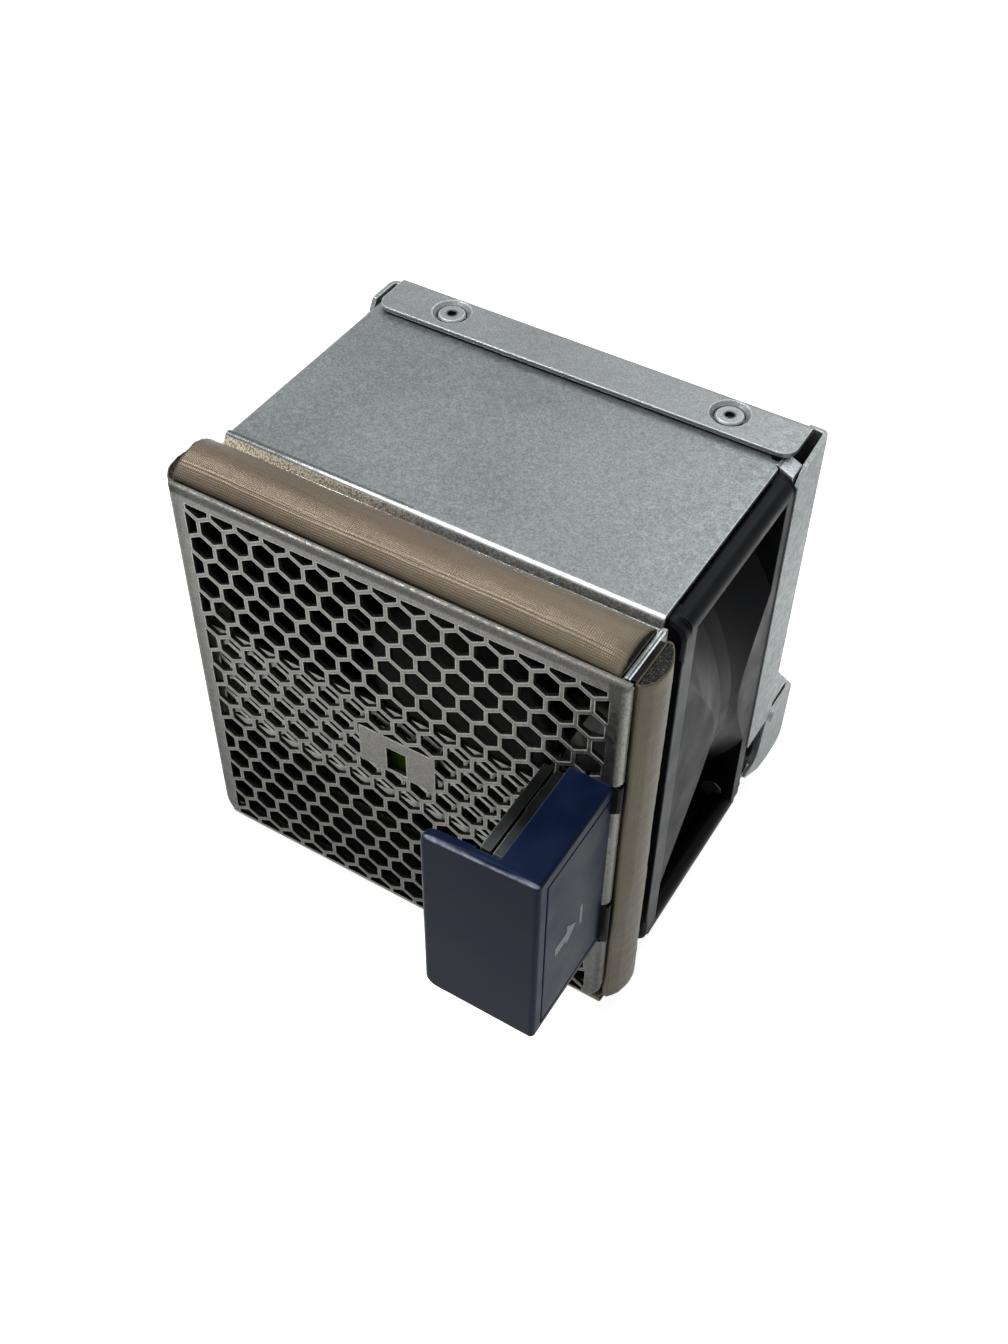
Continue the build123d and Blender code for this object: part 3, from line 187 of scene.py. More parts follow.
class Finish:
    """One procedural material on Object coordinates, built step by step."""

    def __init__(self, name, roughness, metallic=0.0):
        self.material = bpy.data.materials.new(name)
        self.material.use_nodes = True
        self.tree = self.material.node_tree
        self.bsdf = self.tree.nodes["Principled BSDF"]
        self.level("Roughness", roughness)
        self.level("Metallic", metallic)
        self.place = self.node("ShaderNodeTexCoord").outputs["Object"]
        self.normal = None
        self.colour = None

    def level(self, name, value):
        """Set one constant of the surface."""
        self.bsdf.inputs[name].default_value = value

    def node(self, kind, **links):
        """Add a node, with its inputs linked or set by name."""
        made = self.tree.nodes.new(kind)
        for name, value in links.items():
            self.feed(made.inputs[name], value)
        return made

    def feed(self, socket, value):
        """Link a socket or set its constant."""
        if isinstance(value, bpy.types.NodeSocket):
            self.tree.links.new(value, socket)
        else:
            socket.default_value = value

    def stretched(self, stretch=(1.0, 1.0, 1.0)):
        """Object coordinates, stretched."""
        mapping = self.node("ShaderNodeMapping", Vector=self.place)
        mapping.inputs["Scale"].default_value = stretch
        return mapping.outputs["Vector"]

    def noise(self, size_mm, stretch=(1.0, 1.0, 1.0), detail=3.0):
        """Soft noise whose grains are about size_mm across."""
        made = self.node("ShaderNodeTexNoise", Vector=self.stretched(stretch))
        made.inputs["Scale"].default_value = 1.0 / (size_mm * MM)
        made.inputs["Detail"].default_value = detail
        return made.outputs["Fac"]

    def cells(self, size_mm, output="Color", feature="F1"):
        """Voronoi cells about size_mm across."""
        made = self.node("ShaderNodeTexVoronoi", Vector=self.stretched())
        made.feature = feature
        made.inputs["Scale"].default_value = 1.0 / (size_mm * MM)
        return made.outputs[output]

    def lines(self, pitch_mm, axis, waver=0.0):
        """Parallel ribs across an axis, pitch_mm apart."""
        made = self.node("ShaderNodeTexWave", Vector=self.place)
        made.bands_direction = axis
        made.inputs["Scale"].default_value = WAVE_LENGTH / (pitch_mm * MM)
        made.inputs["Distortion"].default_value = waver
        made.inputs["Detail"].default_value = 1.0
        return made.outputs["Fac"]

    def spread(self, value, low, high, start=0.3, end=0.7):
        """Stretch a value from start..end to low..high."""
        made = self.node("ShaderNodeMapRange", Value=value)
        made.inputs["From Min"].default_value = start
        made.inputs["From Max"].default_value = end
        made.inputs["To Min"].default_value = low
        made.inputs["To Max"].default_value = high
        return made.outputs["Result"]

    def rise(self, value, start=0.3, end=0.7):
        """Nought up to start, one from end."""
        return self.spread(value, 0.0, 1.0, start, end)

    def between(self, share, low, high):
        """Low where the share is nought, high where it is one."""
        return self.spread(share, low, high, 0.0, 1.0)

    def math(self, operation, first, second):
        """One sum on two values."""
        made = self.tree.nodes.new("ShaderNodeMath")
        made.operation = operation
        self.feed(made.inputs[0], first)
        self.feed(made.inputs[1], second)
        return made.outputs[0]

    def both(self, first, second):
        """Two shares, multiplied."""
        return self.math("MULTIPLY", first, second)

    def mix(self, share, first, second):
        """Blend two colours."""
        made = self.tree.nodes.new("ShaderNodeMix")
        made.data_type = "RGBA"
        self.feed(made.inputs["Factor"], share)
        for index, value in ((FIRST_COLOUR, first), (SECOND_COLOUR, second)):
            if isinstance(value, tuple):
                value = (*value, 1.0)
            self.feed(made.inputs[index], value)
        return made.outputs[MIXED_COLOUR]

    def along(self, axis):
        """Object coordinate along one axis, in millimetres."""
        parts = self.node("ShaderNodeSeparateXYZ", Vector=self.place)
        return self.math("DIVIDE", parts.outputs[axis], MM)

    def box(self, fade, **limits):
        """One within limits such as X=(1, 5) in millimetres, fading over fade outside them."""
        share = None
        for axis, (low, high) in limits.items():
            place = self.along(axis)
            above = self.rise(place, low - fade, low)
            within = self.both(above, self.spread(place, 1.0, 0.0, high, high + fade))
            share = self.both(share, within) if share else within
        return share

    def stripe(self, axis, middle, half, waver=0.0):
        """One on a thin line across an axis at middle, nought half a width away."""
        place = self.along(axis)
        if waver:
            drift = self.spread(self.noise(size_mm=9.0, detail=1.0), -waver, waver)
            place = self.math("ADD", place, drift)
        away = self.math("ABSOLUTE", self.math("SUBTRACT", place, middle), 0.0)
        return self.spread(away, 1.0, 0.0, 0.0, half)

    def disc(self, centres, radius, fade):
        """One within radius of upright axes at the centres, in millimetres."""
        nearest = None
        for x, y in centres:
            across = self.math("SUBTRACT", self.along("X"), x)
            back = self.math("SUBTRACT", self.along("Y"), y)
            square = self.math("ADD", self.both(across, across), self.both(back, back))
            away = self.math("SQRT", square, 0.0)
            nearest = self.math("MINIMUM", nearest, away) if nearest else away
        return self.spread(nearest, 1.0, 0.0, radius, radius + fade)

    def scaled(self, colour, share):
        """Colour times a share."""
        lit = self.node("ShaderNodeVectorMath")
        lit.operation = "SCALE"
        self.feed(lit.inputs[0], colour)
        self.feed(lit.inputs["Scale"], share)
        return lit.outputs["Vector"]

    def rounded(self, radius_mm):
        """Edges that catch the light as if broken by a small radius."""
        made = self.tree.nodes.new("ShaderNodeBevel")
        made.samples = BEVEL_SAMPLES
        made.inputs["Radius"].default_value = radius_mm * MM
        self.normal = made.outputs["Normal"]
        self.tree.links.new(self.normal, self.bsdf.inputs["Normal"])

    def edges(self, radius_mm, gain=2.5):
        """Up to the gain on sharp edges, nought on flat faces."""
        soft = self.tree.nodes.new("ShaderNodeBevel")
        soft.samples = BEVEL_SAMPLES
        soft.inputs["Radius"].default_value = radius_mm * MM
        flat = self.tree.nodes.new("ShaderNodeNewGeometry")
        dot = self.tree.nodes.new("ShaderNodeVectorMath")
        dot.operation = "DOT_PRODUCT"
        self.tree.links.new(soft.outputs["Normal"], dot.inputs[0])
        self.tree.links.new(flat.outputs["Normal"], dot.inputs[1])
        return self.spread(dot.outputs["Value"], gain, 0.0, 0.7, 1.0)

    def relief(self, height, depth_mm):
        """Bump on top of whatever relief is there already."""
        made = self.node("ShaderNodeBump", Height=height)
        made.inputs["Distance"].default_value = depth_mm * MM
        made.inputs["Strength"].default_value = 1.0
        if self.normal:
            self.tree.links.new(self.normal, made.inputs["Normal"])
        self.normal = made.outputs["Normal"]
        self.tree.links.new(self.normal, self.bsdf.inputs["Normal"])

    def paint(self, colour):
        """Colour of the surface."""
        self.colour = colour
        self.tree.links.new(colour, self.bsdf.inputs["Base Color"])

    def polish(self, roughness):
        """Roughness of the surface."""
        self.tree.links.new(roughness, self.bsdf.inputs["Roughness"])


def painted_light_place(gain, fade, **limits):
    """A place of painted light or painted shade: its gain, how far it fades, and its limits."""
    return gain, fade, limits


def galvanised(name, dark, pale, spangle_mm, edge_glow, painted_light_places=(), soft_edge_mm=0.25):
    """Zinc-coated sheet: small crystals, fine speckle, faint smears, cut edges painted bright as bare metal
    and as painted highlight, and painted light and shade at the places given.
    """
    finish = Finish(name, roughness=0.42, metallic=0.7)
    crystals = finish.cells(spangle_mm)
    speckle = finish.noise(size_mm=0.28, detail=4.0)
    smear = finish.noise(size_mm=22.0, detail=2.0)
    tone = finish.mix(finish.rise(speckle, 0.36, 0.64), dark, pale)
    split = finish.node("ShaderNodeSeparateColor", Color=crystals)
    facet = finish.between(split.outputs["Red"], *ZINC_SHADES)
    cloud = finish.spread(smear, *ZINC_SHADES)
    shade = finish.both(facet, cloud)
    # The bright edges are partly bare zinc and partly a painted highlight
    bare_and_highlit = tuple(min(1.0, part * edge_glow) for part in pale)
    body = finish.mix(finish.edges(radius_mm=0.3), finish.scaled(tone, shade), bare_and_highlit)
    # Each place scales the colour: above one as painted light, below one as painted shade
    for gain, fade, limits in painted_light_places:
        body = finish.scaled(body, finish.between(finish.box(fade, **limits), 1.0, gain))
    finish.paint(body)
    rough = finish.between(split.outputs["Green"], 0.34, 0.52)
    rub = finish.spread(smear, -0.05, 0.06)
    finish.polish(finish.math("ADD", rough, rub))
    finish.rounded(soft_edge_mm)
    finish.relief(speckle, depth_mm=0.006)
    finish.relief(crystals, depth_mm=0.004)
    return finish


def moulded(name, dark, pale, gloss, grain_mm=0.22, grain_depth_mm=0.012, worn=(0.105,) * 3, wear_and_sheen_gain=1.0):
    """Moulded plastic with a fine grain, faint dust and paler edges, partly wear and partly painted
    highlight.
    """
    finish = Finish(name, roughness=sum(gloss) / 2)
    finish.level("Specular IOR Level", 0.06)
    grain = finish.noise(grain_mm)
    dust = finish.noise(size_mm=6.0, detail=5.0)
    body = finish.mix(finish.rise(dust, 0.35, 0.75), dark, pale)
    finish.paint(finish.mix(finish.edges(radius_mm=0.25, gain=wear_and_sheen_gain), body, worn))
    finish.polish(finish.spread(dust, *gloss))
    finish.rounded(radius_mm=0.3)
    finish.relief(grain, grain_depth_mm)
    return finish


def turned_metal(name, dark, pale, rough, draw):
    """Ground or turned metal with fine lines drawn out one way."""
    finish = Finish(name, rough, metallic=1.0)
    rings = finish.noise(size_mm=0.25, stretch=draw)
    stain = finish.noise(size_mm=5.0)
    tone = finish.mix(finish.rise(rings), dark, pale)
    finish.paint(finish.mix(finish.spread(stain, 0.0, 0.35), tone, dark))
    finish.polish(finish.spread(rings, rough * 0.8, rough * 1.3))
    finish.rounded(radius_mm=0.15)
    finish.relief(rings, depth_mm=0.006)
    return finish.material


def ripstop(name, dark, pale, axis, creases=()):
    """Metallised cloth: fine threads both ways, long streaks, soft stains and thin creases with painted
    highlights.
    """
    finish = Finish(name, roughness=0.42, metallic=0.45)
    finish.level("Specular IOR Level", 0.25)
    ribs = finish.lines(pitch_mm=0.34, axis=axis, waver=0.8)
    picks = finish.lines(pitch_mm=0.27, axis="Y", waver=0.8)
    weave = finish.both(ribs, picks)
    stretch = (0.05, 1.0, 1.0) if axis == "X" else (1.0, 1.0, 0.05)
    streaks = finish.noise(size_mm=0.35, stretch=stretch)
    thread = finish.noise(size_mm=0.3, detail=4.0)
    stain = finish.noise(size_mm=14.0)
    mottle = finish.math("ADD", finish.both(thread, weave), finish.spread(streaks, -0.06, 0.08))
    tone = finish.mix(finish.rise(mottle, -0.05, 0.5), dark, pale)
    deep = tuple(part * 0.75 for part in dark)
    painted_crease_highlight = tuple(part * 2.0 for part in pale)
    tone = finish.mix(finish.spread(stain, 0.0, 0.4, 0.42, 0.72), tone, deep)
    # Each crease carries a painted highlight
    for middle in creases:
        line = finish.stripe("Y", middle, half=0.1, waver=0.06)
        tone = finish.mix(finish.both(line, thread), tone, painted_crease_highlight)
    finish.paint(tone)
    finish.polish(finish.spread(thread, 0.34, 0.52))
    finish.relief(ribs, depth_mm=0.018)
    finish.relief(picks, depth_mm=0.012)
    finish.relief(streaks, depth_mm=0.006)
    finish.relief(thread, depth_mm=0.025)
    for middle in creases:
        finish.relief(finish.stripe("Y", middle, half=0.14, waver=0.06), depth_mm=0.03)
    return finish


# One function for each material of the sheet metal

def make_face_metal():
    """Faceplate, with painted shade in several places and a painted highlight on its right side."""
    # Painted shade towards the bottom, on the right border, the top and left edges and the cell walls;
    # painted highlight on the right side
    shaded_foot = painted_light_place(0.3, 62.0, Z=(-5.0, 6.0))
    shaded_right_border = painted_light_place(0.45, 0.3, X=(36.0, 38.3), Y=(-0.3, 0.1), Z=(50.0, 90.0))
    lit_right_side = painted_light_place(1.25, 0.2, X=(38.6, 41.0), Y=(0.4, 3.0), Z=(4.0, 81.5))
    shaded_top_edge = painted_light_place(0.5, 0.4, Z=(82.3, 90.0))
    shaded_left_edge = painted_light_place(0.62, 1.5, X=(-50.0, -39.4))
    shaded_cell_walls = painted_light_place(0.3, 0.05, X=(-39.9, 38.0), Y=(0.15, 1.2), Z=(3.6, 82.0))
    painted_light_places = (shaded_foot, shaded_right_border, lit_right_side, shaded_top_edge, shaded_left_edge, shaded_cell_walls)
    dark, pale = (0.132, 0.13, 0.118), (0.245, 0.242, 0.222)
    return galvanised("face_metal", dark, pale, spangle_mm=0.7, edge_glow=2.6, painted_light_places=painted_light_places).material


def make_strip_metal_painted_light():
    """Lamp bracket, paler than the faceplate as painted light, with painted shade on the walls of its cells.
    """
    shaded_cell_walls = painted_light_place(0.3, 0.05, Y=(2.15, 3.0))
    # The pale tone is painted light that comes through the faceplate's cells
    dark, pale = (0.22, 0.22, 0.21), (0.5, 0.5, 0.475)
    return galvanised("strip_metal_painted_light", dark, pale, spangle_mm=0.7, edge_glow=1.6, painted_light_places=(shaded_cell_walls,)).material


def paint_step_reflection_and_crest(finish):
    """Painted reflection of the gasket on the left of the shell's front step, painted shade on its right, a
    white painted highlight on the bend behind.
    """
    grit = finish.noise(size_mm=0.3)
    reflection_share = finish.spread(finish.along("X"), 1.0, 0.0, -36.0, 0.0)
    # Painted reflection of the gasket's cloth on the left of the step
    reflection_dark, reflection_bright = (0.4, 0.29, 0.16), (1.0, 0.96, 0.78)
    painted_reflection = finish.mix(finish.rise(grit, 0.4, 0.56), reflection_dark, reflection_bright)
    # Painted shade cast by the gasket on the right of the step
    dark_grey, pale_grey = (0.15, 0.155, 0.155), (0.34, 0.345, 0.34)
    shade = finish.mix(finish.rise(grit, 0.4, 0.6), dark_grey, pale_grey)
    step = finish.mix(reflection_share, shade, painted_reflection)
    slope = finish.box(0.2, Y=(12.9, 14.4), Z=(81.3, 82.85))
    finish.paint(finish.mix(slope, finish.colour, step))
    matt = finish.between(finish.both(slope, reflection_share), 0.7, 0.0)
    finish.feed(finish.bsdf.inputs["Metallic"], matt)
    # Painted highlight along the top of the bend
    painted_crest = finish.both(finish.stripe("Y", 14.75, half=0.45), finish.box(0.1, Z=(82.9, 84.0)))
    painted_crest = finish.both(painted_crest, finish.spread(finish.along("X"), 0.0, 0.9, -30.0, 8.0))
    finish.paint(finish.mix(painted_crest, finish.colour, (0.95, 0.96, 0.94)))


def make_shell_metal():
    """Shell and gasket carrier: painted shade inside, painted highlights on the carrier's top and the roof's
    rear corner, a painted dark line on the carrier and painted shade on the roof's bend at the left.
    """
    # Painted shade inside the shell and painted highlights on lit places
    inside = painted_light_place(0.07, 0.1, X=(-40.2, 36.6), Y=(15.3, 64.0), Z=(2.0, 82.6))
    shaded_inside_front = painted_light_place(0.12, 0.1, X=(-40.2, 36.8), Y=(1.0, 15.2), Z=(3.7, 80.9))
    lit_carrier_top = painted_light_place(1.9, 0.1, X=(37.0, 39.0), Y=(1.5, 13.6), Z=(80.5, 84.0))
    shaded_carrier_line = painted_light_place(0.2, 0.12, X=(37.35, 37.5), Y=(1.5, 13.4), Z=(80.5, 84.0))
    shaded_left_crest = painted_light_place(0.45, 0.4, X=(-41.0, -6.0), Y=(14.2, 15.3), Z=(82.7, 84.0))
    lit_rear_corner = painted_light_place(3.0, 0.1, X=(36.75, 39.5), Y=(48.0, 58.0), Z=(78.0, 84.0))
    painted_light_places = (inside, shaded_inside_front, lit_carrier_top, shaded_carrier_line, shaded_left_crest, lit_rear_corner)
    dark, pale = (0.145, 0.165, 0.17), (0.245, 0.267, 0.27)
    finish = galvanised("shell_metal", dark, pale, spangle_mm=0.8, edge_glow=2.6, painted_light_places=painted_light_places)
    paint_step_reflection_and_crest(finish)
    return finish.material


def make_bracket_metal():
    """Rear bracket, with softer edges and painted shade in the slot low on its right cheek."""
    shaded_slot = painted_light_place(0.12, 0.05, X=(39.0, 40.2), Y=(62.5, 69.3), Z=(19.8, 22.0))
    dark, pale = (0.17, 0.185, 0.185), (0.28, 0.3, 0.3)
    finish = galvanised(
        "bracket_metal", dark, pale, spangle_mm=0.8, edge_glow=2.6, painted_light_places=(shaded_slot,), soft_edge_mm=0.4
    )
    return finish.material


def make_rivet_metal():
    """Rivets, with painted shade in and round the mouths of the two on the roof."""
    dark, pale = (0.195, 0.212, 0.214), (0.325, 0.348, 0.35)
    finish = galvanised("rivet_metal", dark, pale, spangle_mm=0.6, edge_glow=2.4)
    roof_rivets = ((-27.2, 59.5), (25.0, 59.5))
    shaded_mouth = finish.disc(roof_rivets, radius=0.85, fade=0.4)
    finish.paint(finish.scaled(finish.colour, finish.between(shaded_mouth, 1.0, 0.16)))
    return finish.material


def make_screw_metal():
    """Bare steel screws."""
    dark, pale = (0.36, 0.36, 0.37), (0.56, 0.56, 0.57)
    return turned_metal("screw_metal", dark, pale, rough=0.3, draw=ALONG_Y)


# One function for each material of the fan

def make_fan_plastic():
    """Black fan housing, with a painted highlight on the right edge of its front flange, brighter higher up.
    """
    finish = moulded("fan_plastic", (0.004, 0.0045, 0.006), (0.011, 0.012, 0.014), gloss=(0.34, 0.5))
    edge = finish.box(0.15, X=(39.9, 41.0), Y=(14.0, 18.8))
    height = finish.box(6.0, Z=(12.0, 74.0))
    edge = finish.both(edge, height)
    # Painted highlight, stronger higher up
    light = finish.both(edge, finish.spread(finish.along("Z"), 0.3, 0.85, 10.0, 75.0))
    finish.paint(finish.mix(light, finish.colour, (0.24, 0.25, 0.25)))
    return finish.material


def make_rotor_plastic():
    """Black blades and hub."""
    dark, pale = (0.004, 0.004, 0.005), (0.009, 0.009, 0.011)
    return moulded("rotor_plastic", dark, pale, gloss=(0.32, 0.46)).material


def make_yoke_metal():
    """Drawn steel cup inside the hub."""
    dark, pale = (0.28, 0.28, 0.29), (0.48, 0.48, 0.49)
    return turned_metal("yoke_metal", dark, pale, rough=0.35, draw=ROUND_Y)


def make_magnet_finish():
    """Dull dark ring magnet."""
    dark, pale = (0.04, 0.04, 0.044), (0.075, 0.075, 0.08)
    return moulded("magnet_finish", dark, pale, gloss=(0.55, 0.75)).material


def make_shaft_metal():
    """Ground steel of the shaft, the bearings and the lever's pin."""
    dark, pale = (0.55, 0.55, 0.57), (0.75, 0.75, 0.77)
    return turned_metal("shaft_metal", dark, pale, rough=0.14, draw=ROUND_Y)


def make_brass_finish():
    """Turned brass tube."""
    dark, pale = (0.52, 0.36, 0.13), (0.78, 0.6, 0.3)
    return turned_metal("brass_finish", dark, pale, rough=0.25, draw=ROUND_Y)


def make_core_finish():
    """Stacked core plates: fine lines along the stack, with a little rust."""
    finish = Finish("core_finish", roughness=0.55, metallic=0.8)
    plates = finish.lines(pitch_mm=0.5, axis="Y")
    patches = finish.noise(size_mm=2.0, detail=5.0)
    gap, steel, rust = (0.06, 0.06, 0.065), (0.3, 0.3, 0.31), (0.2, 0.09, 0.04)
    tone = finish.mix(finish.rise(plates, 0.1, 0.6), gap, steel)
    finish.paint(finish.mix(finish.spread(patches, 0.0, 0.5, 0.5, 0.8), tone, rust))
    finish.polish(finish.spread(patches, 0.4, 0.7))
    finish.relief(plates, depth_mm=0.06)
    return finish.material


def make_coil_finish():
    """Enamelled copper wire laid side by side."""
    finish = Finish("coil_finish", roughness=0.3, metallic=0.9)
    turns = finish.lines(pitch_mm=0.35, axis="Y", waver=0.3)
    varnish = finish.noise(size_mm=1.2)
    groove, copper, amber = (0.2, 0.06, 0.02), (0.68, 0.3, 0.11), (0.3, 0.1, 0.03)
    tone = finish.mix(finish.rise(turns, 0.1, 0.8), groove, copper)
    finish.paint(finish.mix(finish.spread(varnish, 0.0, 0.4), tone, amber))
    finish.polish(finish.spread(varnish, 0.22, 0.42))
    finish.relief(turns, depth_mm=0.08)
    return finish.material


def make_board_finish():
    """Green solder mask over faint copper tracks."""
    finish = Finish("board_finish", roughness=0.32)
    finish.level("Coat Weight", 0.3)
    tracks = finish.cells(size_mm=1.6, output="Distance", feature="DISTANCE_TO_EDGE")
    weave = finish.noise(size_mm=0.3, detail=2.0)
    line = finish.spread(tracks, 1.0, 0.0, 0.03, 0.09)
    mask, track, glass = (0.05, 0.2, 0.015), (0.13, 0.36, 0.03), (0.03, 0.12, 0.01)
    tone = finish.mix(line, mask, track)
    finish.paint(finish.mix(finish.spread(weave, 0.0, 0.3), tone, glass))
    finish.polish(finish.spread(weave, 0.26, 0.4))
    finish.relief(line, depth_mm=0.02)
    return finish.material


def make_sleeve_finish():
    """Black braided sleeve round the fan wires."""
    finish = Finish("sleeve_finish", roughness=0.5)
    left = finish.lines(pitch_mm=0.55, axis="DIAGONAL", waver=0.4)
    right = finish.lines(pitch_mm=0.55, axis="Y", waver=0.4)
    braid = finish.both(left, right)
    gap, strand = (0.006, 0.006, 0.007), (0.06, 0.06, 0.065)
    finish.paint(finish.mix(finish.rise(braid, 0.05, 0.6), gap, strand))
    finish.polish(finish.between(braid, 0.6, 0.4))
    finish.relief(braid, depth_mm=0.1)
    return finish.material


def make_plug_plastic():
    """Dark connector housing."""
    dark, pale = (0.02, 0.02, 0.022), (0.045, 0.045, 0.05)
    return moulded("plug_plastic", dark, pale, gloss=(0.4, 0.6)).material


def make_contact_gold():
    """Gold-plated contacts."""
    dark, pale = (0.6, 0.42, 0.14), (0.9, 0.7, 0.34)
    return turned_metal("contact_gold", dark, pale, rough=0.2, draw=ALONG_Y)


# One function for each material of the handle, the lamp and the gaskets

def make_tape_finish():
    """Matt black adhesive strips under the gaskets."""
    finish = moulded(
        "tape_finish", (0.01, 0.01, 0.01), (0.03, 0.03, 0.03), gloss=(0.8, 0.95),
        grain_mm=0.4, grain_depth_mm=0.03,
    )
    return finish.material


def make_handle_navy():
    """Navy handle, with painted shade that makes its front face nearly black, the rest painted a little
    brighter as painted light, and a painted glint along the upper front edge.
    """
    finish = moulded(
        "handle_navy", (0.004, 0.01, 0.033), (0.0085, 0.018, 0.051), gloss=(0.28, 0.4),
        # The handle's paler edges are a painted highlight
        grain_mm=0.18, grain_depth_mm=0.008, worn=(0.1, 0.13, 0.27), wear_and_sheen_gain=1.6,
    )
    finish.level("Specular IOR Level", 0.04)
    # Painted shade on the front face, painted light elsewhere
    front = finish.between(finish.box(0.1, Y=(-21.5, -20.95)), 0.0, 0.9)
    finish.paint(finish.mix(front, finish.scaled(finish.colour, 1.15), (0.008, 0.009, 0.012)))
    # The plate's upper front edge falls by 0.0653 per millimetre to the left
    slope, edge_height, edge_width = -0.0653, 59.2, 0.4
    fall = finish.math("MULTIPLY", finish.along("X"), slope)
    height = finish.math("ADD", finish.along("Z"), fall)
    away = finish.math("ABSOLUTE", finish.math("SUBTRACT", height, edge_height), 0.0)
    line = finish.spread(away, 1.0, 0.0, 0.0, edge_width)
    # Painted glint along the upper front edge
    glint = finish.both(line, finish.box(0.15, Y=(-21.5, -20.45)))
    glint = finish.both(glint, finish.spread(finish.noise(size_mm=1.5), 0.5, 1.0, 0.4, 0.6))
    finish.paint(finish.mix(glint, finish.colour, (0.62, 0.68, 0.84)))
    return finish.material


def make_lever_black():
    """Black lever, with painted light at its front tip and painted shade behind."""
    finish = moulded(
        "lever_black", (0.014, 0.015, 0.016), (0.04, 0.043, 0.044), gloss=(0.4, 0.56),
        grain_mm=0.22, grain_depth_mm=0.02, worn=(0.2, 0.21, 0.21), wear_and_sheen_gain=1.8,
    )
    # Painted light at the front tip, painted shade behind it
    lit_tip_shaded_rear = finish.between(finish.box(6.0, Y=(-20.0, -17.0)), 0.4, 2.8)
    finish.paint(finish.scaled(finish.colour, lit_tip_shaded_rear))
    return finish.material


def make_spring_metal():
    """Spring steel, ground along its height."""
    dark, pale = (0.4, 0.4, 0.42), (0.6, 0.6, 0.6)
    return turned_metal("spring_metal", dark, pale, rough=0.25, draw=ALONG_Z)


def make_lamp_resin():
    """Yellowish, partly clear lamp body."""
    finish = Finish("lamp_resin", roughness=0.15)
    haze = finish.noise(size_mm=0.6, detail=2.0)
    finish.level("Transmission Weight", 0.35)
    finish.level("Coat Weight", 0.5)
    finish.paint(finish.mix(finish.rise(haze), (0.72, 0.75, 0.52), (0.85, 0.86, 0.7)))
    finish.polish(finish.spread(haze, 0.1, 0.25))
    finish.rounded(radius_mm=0.2)
    return finish.material


def make_cloth_across():
    """Top and bottom cloth: brown, olive to the right, creased, with painted shade where it meets the
    faceplate.
    """
    creases = (3.5, 4.0, 4.4)
    finish = ripstop("cloth_across", (0.1, 0.074, 0.052), (0.22, 0.174, 0.13), "X", creases)
    # Painted shade where the cloth meets the faceplate
    shaded_foot = finish.box(0.6, Y=(0.0, 1.8), Z=(80.0, 83.6))
    finish.paint(finish.scaled(finish.colour, finish.between(shaded_foot, 1.0, 0.4)))
    olive = finish.spread(finish.along("X"), 0.0, 0.35, -10.0, 38.0)
    finish.paint(finish.mix(olive, finish.colour, (0.19, 0.168, 0.108)))
    return finish.material


def make_cloth_upright():
    """Right and left cloth, painted darker than the top and bottom cloth as painted shade."""
    return ripstop("cloth_upright", (0.095, 0.08, 0.052), (0.175, 0.152, 0.104), "Z").material


def make_foam_finish():
    """Black open-cell foam with visible pores and pale specks."""
    finish = Finish("foam_finish", roughness=0.95)
    pores = finish.cells(size_mm=0.4, output="Distance")
    speck = finish.noise(size_mm=0.22)
    black, charcoal, pale = (0.001, 0.001, 0.001), (0.012, 0.012, 0.012), (0.2, 0.2, 0.19)
    tone = finish.mix(finish.rise(pores, 0.35, 0.9), black, charcoal)
    finish.paint(finish.mix(finish.rise(speck, 0.58, 0.68), tone, pale))
    finish.relief(pores, depth_mm=0.2)
    finish.relief(speck, depth_mm=0.06)
    return finish.material


NODE_FINISHES = {
    make_face_metal: ("faceplate",),
    make_strip_metal_painted_light: ("led_bracket",),
    make_shell_metal: ("chassis_shell", "gasket_carrier"),
    make_bracket_metal: ("rear_bracket",),
    make_rivet_metal: ("cover_rivets",),
    make_screw_metal: ("fan_screws", "handle_screws"),
    make_fan_plastic: ("fan_housing",),
    make_rotor_plastic: ("impeller",),
    make_yoke_metal: ("rotor_yoke",),
    make_magnet_finish: ("rotor_magnet",),
    make_shaft_metal: ("rotor_shaft", "front_bearing", "rear_bearing", "lever_pin"),
    make_brass_finish: ("bearing_tube",),
    make_core_finish: ("stator_core",),
    make_coil_finish: ("stator_coils",),
    make_board_finish: ("motor_board", "led_board"),
    make_sleeve_finish: ("fan_lead",),
    make_plug_plastic: ("connector_housing",),
    make_contact_gold: ("connector_contacts",),
    make_tape_finish: ("gasket_tapes",),
    make_handle_navy: ("handle_body",),
    make_lever_black: ("release_lever",),
    make_spring_metal: ("lever_spring",),
    make_lamp_resin: ("status_led",),
}


def dress_nodes():
    """Give each CAD node its finish."""
    for make_finish, names in NODE_FINISHES.items():
        material = make_finish()
        for name in names:
            mesh = nodes[name].data
            if not mesh.materials:
                mesh.materials.append(material)
            for index in range(len(mesh.materials)):
                mesh.materials[index] = material


# Gaskets: crowned cloth skins over foam cores, in millimetres until placed

SKIN = 0.2
SIDE_HEIGHT = 0.9
CLOTH_STEP = 0.5
TOP_CUTS, BOTTOM_CUTS, SIDE_CUTS = 39, 9, 1
# The cloth wrinkles freely above this height, and less below it, down to the glue
FREE_HEIGHT, GLUE_HEIGHT = 1.5, 0.05
# How far a wrinkle may rise over the gasket's height and how strong wrinkles are
FREE_RISE, FREE_WRINKLES = 0.12, 1.0
# The same for the pressed gasket, and the share of its height that its round corners take
PRESSED_RISE, PRESSED_WRINKLES, PRESSED_CORNER = 0.0, 0.4, 0.75
# Waves, puckers and crinkles of the cloth: scale along it, scale across it, seed, height
WRINKLES = ((0.06, 0.16, 0, 0.22), (0.5, 0.22, 7, 0.07), (1.6, 0.6, 13, 0.03))
